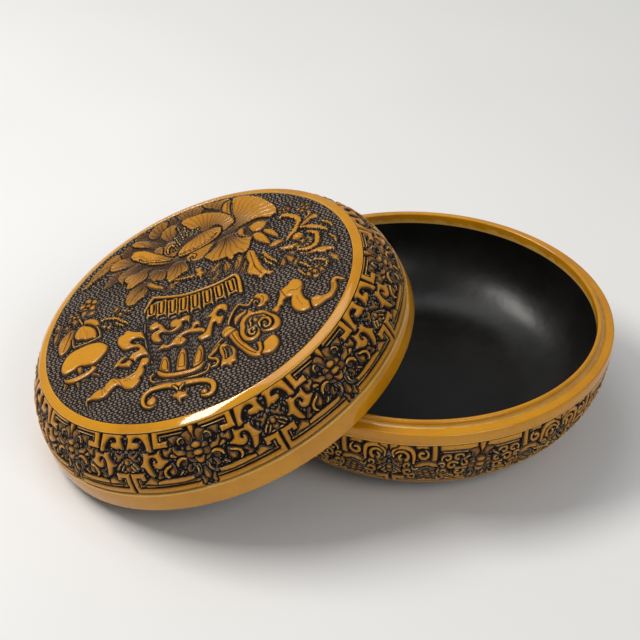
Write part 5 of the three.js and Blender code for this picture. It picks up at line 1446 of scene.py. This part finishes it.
def carved_lacquer():
    """Ochre lacquer cut through to brown and black: its colour follows the carving's height,
    partly the lacquer's own layers and partly painted shade that darkens rounded edges, walls
    and lower forms. The highest edges are worn pale with a painted highlight, and the dashes
    of the ground have painted glints on their tips, but for a strip of painted shade beside
    each raised form."""
    m = Nodes("carved_lacquer")
    fine = m.noise(900.0, 3.0)
    patch = m.noise(45.0, 4.0, 0.6)
    wander = m.math("SUBTRACT", fine, 0.5)
    edge = m.attribute("carved_edge")
    height = m.math("MULTIPLY_ADD", wander, 0.18, m.attribute("carved_depth"))
    # Painted shade: under the ochre top the colour runs through darker ochre, amber and brown to near
    # black, so rounded edges, walls and lower forms come out darker; the brown and black are partly the
    # lacquer's own layers. The pale grey from 0.20 to 0.27 is a painted glint on the tips of the
    # ground's dashes and ridges.
    colour = m.ramp(height, [(0.0, GROUND_DARK), (0.06, GROUND_DARK), (0.20, GROUND_PAINTED_GLINT),
                             (0.27, GROUND_PAINTED_GLINT), (0.36, DARK_CUT_AND_PAINTED_SHADE), (0.55, BROWN_CUT_AND_PAINTED_SHADE),
                             (0.74, AMBER_PAINTED_SHADE), (0.88, OCHRE_PAINTED_SHADE), (1.0, OCHRE_TOP)])
    # Painted shade: ground that lies below its surroundings, the strip beside each raised form, is
    # painted the dark ground colour, which also takes away the painted glints there.
    away = m.math("MAXIMUM", m.between(edge, -0.13, -0.05), m.between(height, 0.34, 0.50))
    colour = m.mix(away, GROUND_DARK, colour)
    face = m.between(height, 0.6, 0.85)
    cloud = m.math("MULTIPLY", m.between(patch, 0.45, 0.75, 0.0, 0.45), face)
    colour = m.mix(cloud, colour, OCHRE_CLOUD)
    # Edges standing above their surroundings are painted pale: partly worn edges and partly a painted
    # highlight.
    rubbed_and_highlit = m.between(m.math("MULTIPLY_ADD", wander, 0.30, edge), 0.16, 0.40, 0.0, 0.75)
    rubbed_and_highlit = m.math("MULTIPLY", rubbed_and_highlit, m.between(height, 0.42, 0.62))
    colour = m.mix(rubbed_and_highlit, colour, RUBBED_AND_HIGHLIT_EDGE)
    scratch = m.noise(260.0, 2.0, 0.5, m.stretched((1.0, 9.0, 1.0)))
    scratch = m.math("MULTIPLY", m.between(scratch, 0.62, 0.74, 0.0, 0.5), face)
    colour = m.mix(scratch, colour, BROWN_CUT_AND_PAINTED_SHADE)
    rough = m.math("ADD", m.between(height, 0.3, 0.9, 0.55, 0.24),
                   m.math("MULTIPLY", m.math("SUBTRACT", patch, 0.5), 0.22))
    normal = m.bump(fine, 0.00012, 0.5)
    normal = m.bump(m.cells(420.0), 0.00018, 0.35, normal)
    shine = m.between(height, 0.25, 0.75, 0.06, 0.35)
    return m.finish(colour, rough, normal, Specular_IOR_Level=shine)


def ochre_lacquer():
    """Polished ochre lacquer: slight cloudiness, darker pits, edges worn pale with a painted highlight.
    """
    m = Nodes("ochre_lacquer")
    fine = m.noise(700.0, 3.0)
    patch = m.noise(28.0, 5.0, 0.6)
    colour = m.mix(m.between(patch, 0.35, 0.70), OCHRE_POLISHED, OCHRE_POLISHED_DEEP)
    pits = m.noise(1500.0, 2.0)
    colour = m.mix(m.between(pits, 0.66, 0.74, 0.0, 0.5), colour, BROWN_CUT_AND_PAINTED_SHADE)
    # Edges near sharp turns of the profile are painted pale: partly wear, partly a painted highlight.
    edge_mark = m.math("ADD", m.attribute("sharp_turn_nearness"), m.math("SUBTRACT", m.noise(220.0, 4.0), 0.75))
    colour = m.mix(m.between(edge_mark, 0.15, 0.60, 0.0, 0.5), colour, RUBBED_AND_HIGHLIT_EDGE)
    rough = m.math("MULTIPLY_ADD", patch, 0.08, 0.04)
    normal = m.bump(m.noise(60.0, 2.0), 0.0002, 0.03)
    normal = m.bump(fine, 0.00003, 0.15, normal)
    return m.finish(colour, rough, normal, Specular_IOR_Level=0.4, Coat_Weight=0.15,
                    Coat_Roughness=0.03)


def black_lacquer():
    """Satin black lacquer, with soft clouds, faint tool waves and a little dust."""
    m = Nodes("black_lacquer")
    patch = m.noise(35.0, 5.0, 0.6)
    dust = m.noise(1800.0, 2.0)
    colour = m.mix(m.between(patch, 0.35, 0.7), BLACK_LACQUER, BLACK_CLOUD)
    colour = m.mix(m.between(dust, 0.70, 0.76, 0.0, 0.25), colour, BLACK_DUST)
    edge_mark = m.math("ADD", m.attribute("sharp_turn_nearness"), m.math("SUBTRACT", m.noise(260.0, 4.0), 0.8))
    colour = m.mix(m.between(edge_mark, 0.25, 0.60, 0.0, 0.5), colour, BLACK_WORN)
    rough = m.math("MULTIPLY_ADD", patch, 0.18, 0.26)
    normal = m.bump(m.noise(110.0, 2.0), 0.0006, 0.3)
    normal = m.bump(m.noise(1200.0, 2.0), 0.00006, 0.4, normal)
    return m.finish(colour, rough, normal, Specular_IOR_Level=0.3)


def turned_wood():
    """Turned softwood: growth rings as a wave broken by noise, fine fibres and pores."""
    m = Nodes("turned_wood")
    fibre = m.noise(120.0, 4.0, 0.6, m.stretched((1.0, 9.0, 9.0)))
    ring = m.add("ShaderNodeTexWave", wave_type="BANDS", bands_direction="Y")
    m.feed(ring.inputs["Vector"], m.place)
    m.feed(ring.inputs["Scale"], 55.0)
    m.feed(ring.inputs["Distortion"], 6.0)
    m.feed(ring.inputs["Detail"], 3.0)
    colour = m.mix(m.between(ring.outputs["Fac"], 0.2, 0.9), WOOD_PALE, WOOD_DARK)
    colour = m.mix(m.between(fibre, 0.55, 0.75, 0.0, 0.5), colour, WOOD_PORE)
    rough = m.math("MULTIPLY_ADD", fibre, 0.2, 0.55)
    return m.finish(colour, rough, m.bump(fibre, 0.0002, 0.5))


carved = carved_lacquer()
ochre = ochre_lacquer()
black = black_lacquer()
wood = turned_wood()

for node in ("base_core", "base_floor", "lid_core", "lid_board"):
    for slot in bpy.data.objects[node].material_slots:
        slot.material = wood


# Plain pieces

def bulge(low, high):
    """The plain rims' outer wall: RIM_RADIUS swelled by RIM_SWELL * (1 - s^2) between its ends,
    where s runs from -1 to 1."""
    s = np.linspace(-1, 1, 9)
    h = low + (high - low) * (s + 1) / 2
    return np.stack([RIM_RADIUS + RIM_SWELL * (1 - s ** 2), h], 1)


def corner(centre, radius, start, end, steps):
    """A rounded corner: an arc between two angles in degrees."""
    return arc(centre, (radius, radius), math.radians(start), math.radians(end), steps)


def top_ring_face():
    """The top ring's rounded face: it rises from its outer edge to a crest near its inner edge."""
    outer, inner, low, crest = TOP_RING_OUTER, TOP_RING_INNER, TOP_RING_EDGE, TOP_RING_CREST
    return smooth_line([(outer - 0.02, low), (outer - 0.1, low + 0.38), (outer - 0.6, low + 0.74),
                        (outer - 2.4, crest - 0.54), (outer - 4.2, crest - 0.02),
                        (inner + 0.4, crest - 0.03), (inner + 0.05, crest - 0.4)], 6)


def base_mouth_ring():
    """The plain rim, the ledge that the lid sits on, and the raised lip that centres it."""
    skin_foot = BOWL_CENTRE[0] + BOWL_REACH[0] - COAT
    inner_foot, wall_foot = 55.0, BASE_RIM_FOOT + SMALL_ROUNDING
    wall_top, ledge = LEDGE_HEIGHT - RIM_ROUNDING, LEDGE_HEIGHT + LEDGE_FALL
    ledge_middle, lip_round = 106.0, 0.8
    ring_piece("base_mouth_ring_lacquer", np.vstack([
        [(LIP_INNER, inner_foot), (skin_foot, inner_foot), (skin_foot, BASE_RIM_FOOT)],
        corner((RIM_RADIUS - SMALL_ROUNDING, wall_foot), SMALL_ROUNDING, -90, 0, 3),
        bulge(wall_foot + 0.4, wall_top)[1:-1],
        corner((RIM_RADIUS - RIM_ROUNDING, wall_top), RIM_ROUNDING, 0, 90, 7),
        [(ledge_middle, LEDGE_HEIGHT + 0.08), (LIP_OUTER + 0.5, ledge - 0.02), (LIP_OUTER, ledge + 0.3)],
        corner((LIP_OUTER - RIM_ROUNDING, LIP_TOP - RIM_ROUNDING), RIM_ROUNDING, 0, 90, 7),
        corner((LIP_INNER + lip_round, LIP_TOP - lip_round), lip_round, 90, 180, 6)]),
        "base", "base_mouth_ring", ochre)


def base_lining():
    """The bowl's black inside: a flat floor that turns up into an upright wall."""
    floor, wall_foot = 12.0, 51.5
    hollow = arc(HOLLOW_CENTRE, HOLLOW_REACH, -math.pi / 2, 0, 40)
    shell = arc(HOLLOW_CENTRE, np.add(HOLLOW_REACH, LINING), 0, -math.pi / 2, 30)
    disc_piece("base_lining_lacquer", np.vstack([
        [(0, floor), (20, floor), (45, floor)], hollow,
        [(LIP_INNER, wall_foot), (LIP_INNER, HOLLOW_TOP), (LIP_INNER + LINING, HOLLOW_TOP)],
        shell, [(0, floor - LINING)]]),
        "base", "base_lining", black)


def base_foot():
    """The foot ring, and the black underside recessed inside it."""
    inner_round, outer_round, recess = 0.6, 0.9, FOOT_HEIGHT - 1.0
    ring_piece("base_foot_ring_lacquer", np.vstack([
        [(FOOT_INNER, FOOT_HEIGHT)],
        corner((FOOT_INNER + inner_round, inner_round), inner_round, 180, 270, 4),
        corner((FOOT_OUTER - outer_round, outer_round), outer_round, 270, 360, 5),
        [(FOOT_OUTER - 0.1, 2.6), (FOOT_OUTER, FOOT_HEIGHT)]]),
        "base", "base_foot_ring", black)
    edge = FOOT_INNER - 0.3
    disc_piece("base_underside_lacquer", [
        (0, FOOT_HEIGHT), (30, FOOT_HEIGHT), (edge, FOOT_HEIGHT), (edge, recess + 0.25),
        (edge - 0.6, recess), (30, recess), (0, recess)],
        "base", "base_underside", black)


def lid_mouth_ring():
    """The lid's plain rim, with the narrow plain strip above it on which the carving stands."""
    rim, strip = LID_RIM_HEIGHT, LID_RIM_HEIGHT + 0.3 + PLAIN_STRIP
    strip_outer, strip_inner, strip_wall = 109.75, 108.1, strip - SMALL_ROUNDING
    skin_foot = SHOULDER_CENTRE[0] + SHOULDER_REACH[0] - COAT
    ring_piece("lid_mouth_ring_lacquer", np.vstack([
        [(LID_INNER, 0.5), (LID_INNER + 0.5, 0)],
        corner((RIM_RADIUS - RIM_ROUNDING, RIM_ROUNDING), RIM_ROUNDING, -90, 0, 7),
        bulge(1.4, rim + 0.2)[1:-1],
        [(strip_outer + 0.1, rim + 0.5), (strip_outer, strip_wall)],
        corner((strip_outer - SMALL_ROUNDING, strip_wall), SMALL_ROUNDING, 0, 90, 3),
        [(strip_inner, strip), (strip_inner, rim), (skin_foot, rim), (skin_foot, LID_RING_DEPTH),
         (LID_INNER, LID_RING_DEPTH)]]),
        "lid", "lid_mouth_ring", ochre)


def lid_lining():
    """The lid's black inside: a flat ceiling that turns down into the wall."""
    hollow = arc(CEILING_CENTRE, CEILING_REACH, 0, math.pi / 2, 30)
    shell = arc(CEILING_CENTRE, np.add(CEILING_REACH, LINING), math.pi / 2, 0, 24)
    foot = LID_RING_DEPTH + 0.3
    disc_piece("lid_lining_lacquer", np.vstack([
        [(0, CEILING_TOP + LINING), (40, CEILING_TOP + LINING)], shell,
        [(LID_INNER + LINING, foot), (LID_INNER, foot)], hollow,
        [(40, CEILING_TOP), (0, CEILING_TOP)]]),
        "lid", "lid_lining", black)


def lid_top_ring():
    """The rounded ring round the carved panel."""
    ring_piece("lid_top_ring_lacquer", np.vstack([
        [(TOP_RING_INNER, TOP_RING_SEAT), (TOP_RING_OUTER - COAT, TOP_RING_SEAT)],
        top_ring_face()]),
        "lid", "lid_top_ring", ochre)


base_mouth_ring()
base_lining()
base_foot()
lid_mouth_ring()
lid_lining()
lid_top_ring()


# Carved pieces

def band_pieces(part, skin, rows, look, repeats, flower_angle, depth):
    """One panel for each repeat of a half's band, from seam to seam."""
    span = 2 * math.pi / repeats
    for k in range(repeats):
        first = math.radians(flower_angle) + (k - 0.5) * span
        band_panel(f"{part}_band_panel_{k + 1}", skin, rows, first, first + span, look, depth,
                   part, f"{part}_side_band", carved)


shoulder = Skin(SHOULDER_CENTRE, SHOULDER_REACH, SHOULDER_START, SHOULDER_END)
lid_look = band_look(lid_band_carving(), LID_REPEATS, LID_FLOWER_ANGLE, lid_pattern)
lid_rows = np.linspace(PLAIN_STRIP + 0.15, shoulder.length, LID_BAND_ROWS)
band_pieces("lid", shoulder, lid_rows, lid_look, LID_REPEATS, LID_FLOWER_ANGLE, LID_BAND_DEPTH)

bowl = Skin(BOWL_CENTRE, BOWL_REACH, 0, -BOWL_END)
base_look = band_look(base_band_carving(), BASE_REPEATS, BASE_FLOWER_ANGLE, base_pattern)
base_rows = np.linspace(0, BASE_BORDER_END, BASE_BAND_ROWS)
band_pieces("base", bowl, base_rows, base_look, BASE_REPEATS, BASE_FLOWER_ANGLE,
            BASE_BAND_DEPTH)

low = np.linspace(BASE_BORDER_END + 0.1, bowl.length, LOWER_SKIN_ROWS)
ring_piece("base_lower_skin",
           np.vstack([bowl.at(low, LOWER_SKIN_SINK), bowl.at(low[::-1], COAT)]),
           "base", "base_side_band", black)

panel = panel_carving()
panel_edges = panel.height_over_surroundings()
quarters = [((-1, 0), (-1, 0)), ((0, 1), (-1, 0)), ((-1, 0), (0, 1)), ((0, 1), (0, 1))]
for k, (s_range, t_range) in enumerate(quarters):
    panel_quarter(f"lid_panel_quarter_{k + 1}", panel, panel_edges, s_range, t_range, carved)


# Floor, lights and camera

def floor_material():
    """Matt pale floor with a faint cloud."""
    m = Nodes("pale_floor")
    cloud = m.noise(3.0, 2.0)
    colour = m.mix(m.between(cloud, 0.3, 0.7), FLOOR_PALE, FLOOR_GREY)
    return m.finish(colour, 0.9, m.bump(m.noise(400.0), 0.0001, 0.1))


def pale_floor():
    """One wide plate on the table's level."""
    mesh = bpy.data.meshes.new("pale_floor")
    reach = 6.0
    mesh.from_pydata([(-reach, -reach, 0), (reach, -reach, 0), (reach, reach, 0),
                      (-reach, reach, 0)], [], [(0, 1, 2, 3)])
    floor = bpy.data.objects.new("pale_floor", mesh)
    bpy.context.scene.collection.objects.link(floor)
    mesh.materials.append(floor_material())


TARGET = Vector((-0.01, 0, 0.05))


def side_of(azimuth, elevation):
    """The direction from the object towards that side, in degrees; azimuth 0 is the front."""
    a, e = math.radians(azimuth), math.radians(elevation)
    return Vector((math.sin(a) * math.cos(e), -math.cos(a) * math.cos(e), math.sin(e)))


def area_light(name, azimuth, elevation, distance, size, power, colour=(1, 1, 1)):
    """A rectangular lamp that looks at the object from that side."""
    back = side_of(azimuth, elevation)
    data = bpy.data.lights.new(name, "AREA")
    data.shape = "RECTANGLE"
    data.size, data.size_y = size
    data.energy = power
    data.color = colour
    lamp = bpy.data.objects.new(name, data)
    lamp.location = TARGET + back * distance
    lamp.rotation_euler = back.to_track_quat("Z", "Y").to_euler()
    bpy.context.scene.collection.objects.link(lamp)


def camera():
    """The camera fitted to the photograph's rim, ring and outline ellipses."""
    azimuth, elevation, place = -11.305, 35.153, (-0.147664, -0.704792, 0.568266)
    data = bpy.data.cameras.new("camera")
    data.sensor_width = 36.0
    data.lens = 88.760
    data.shift_x, data.shift_y = 0.011356, -0.003069
    cam = bpy.data.objects.new("camera", data)
    back = side_of(azimuth, elevation)
    right = Vector((0, 0, 1)).cross(back).normalized()
    turn = Matrix((right, back.cross(right), back)).transposed().to_4x4()
    cam.matrix_world = Matrix.Translation(place) @ turn
    bpy.context.scene.collection.objects.link(cam)
    bpy.context.scene.camera = cam


def sky():
    """Soft light from all sides."""
    world = bpy.data.worlds.new("soft_room")
    world.use_nodes = True
    back = world.node_tree.nodes["Background"]
    back.inputs["Color"].default_value = (0.95, 0.97, 1.0, 1)
    back.inputs["Strength"].default_value = 0.30
    bpy.context.scene.world = world


pale_floor()
area_light("key_softbox", azimuth=-113, elevation=53, distance=1.3, size=(0.80, 0.22),
           power=12.0, colour=(1.0, 0.97, 0.92))
area_light("front_fill", azimuth=25, elevation=40, distance=2.2, size=(1.2, 0.9),
           power=12.0, colour=(1.0, 0.98, 0.95))
area_light("back_soft", azimuth=-160, elevation=68, distance=2.2, size=(1.2, 0.9), power=8.0)
sky()
camera()
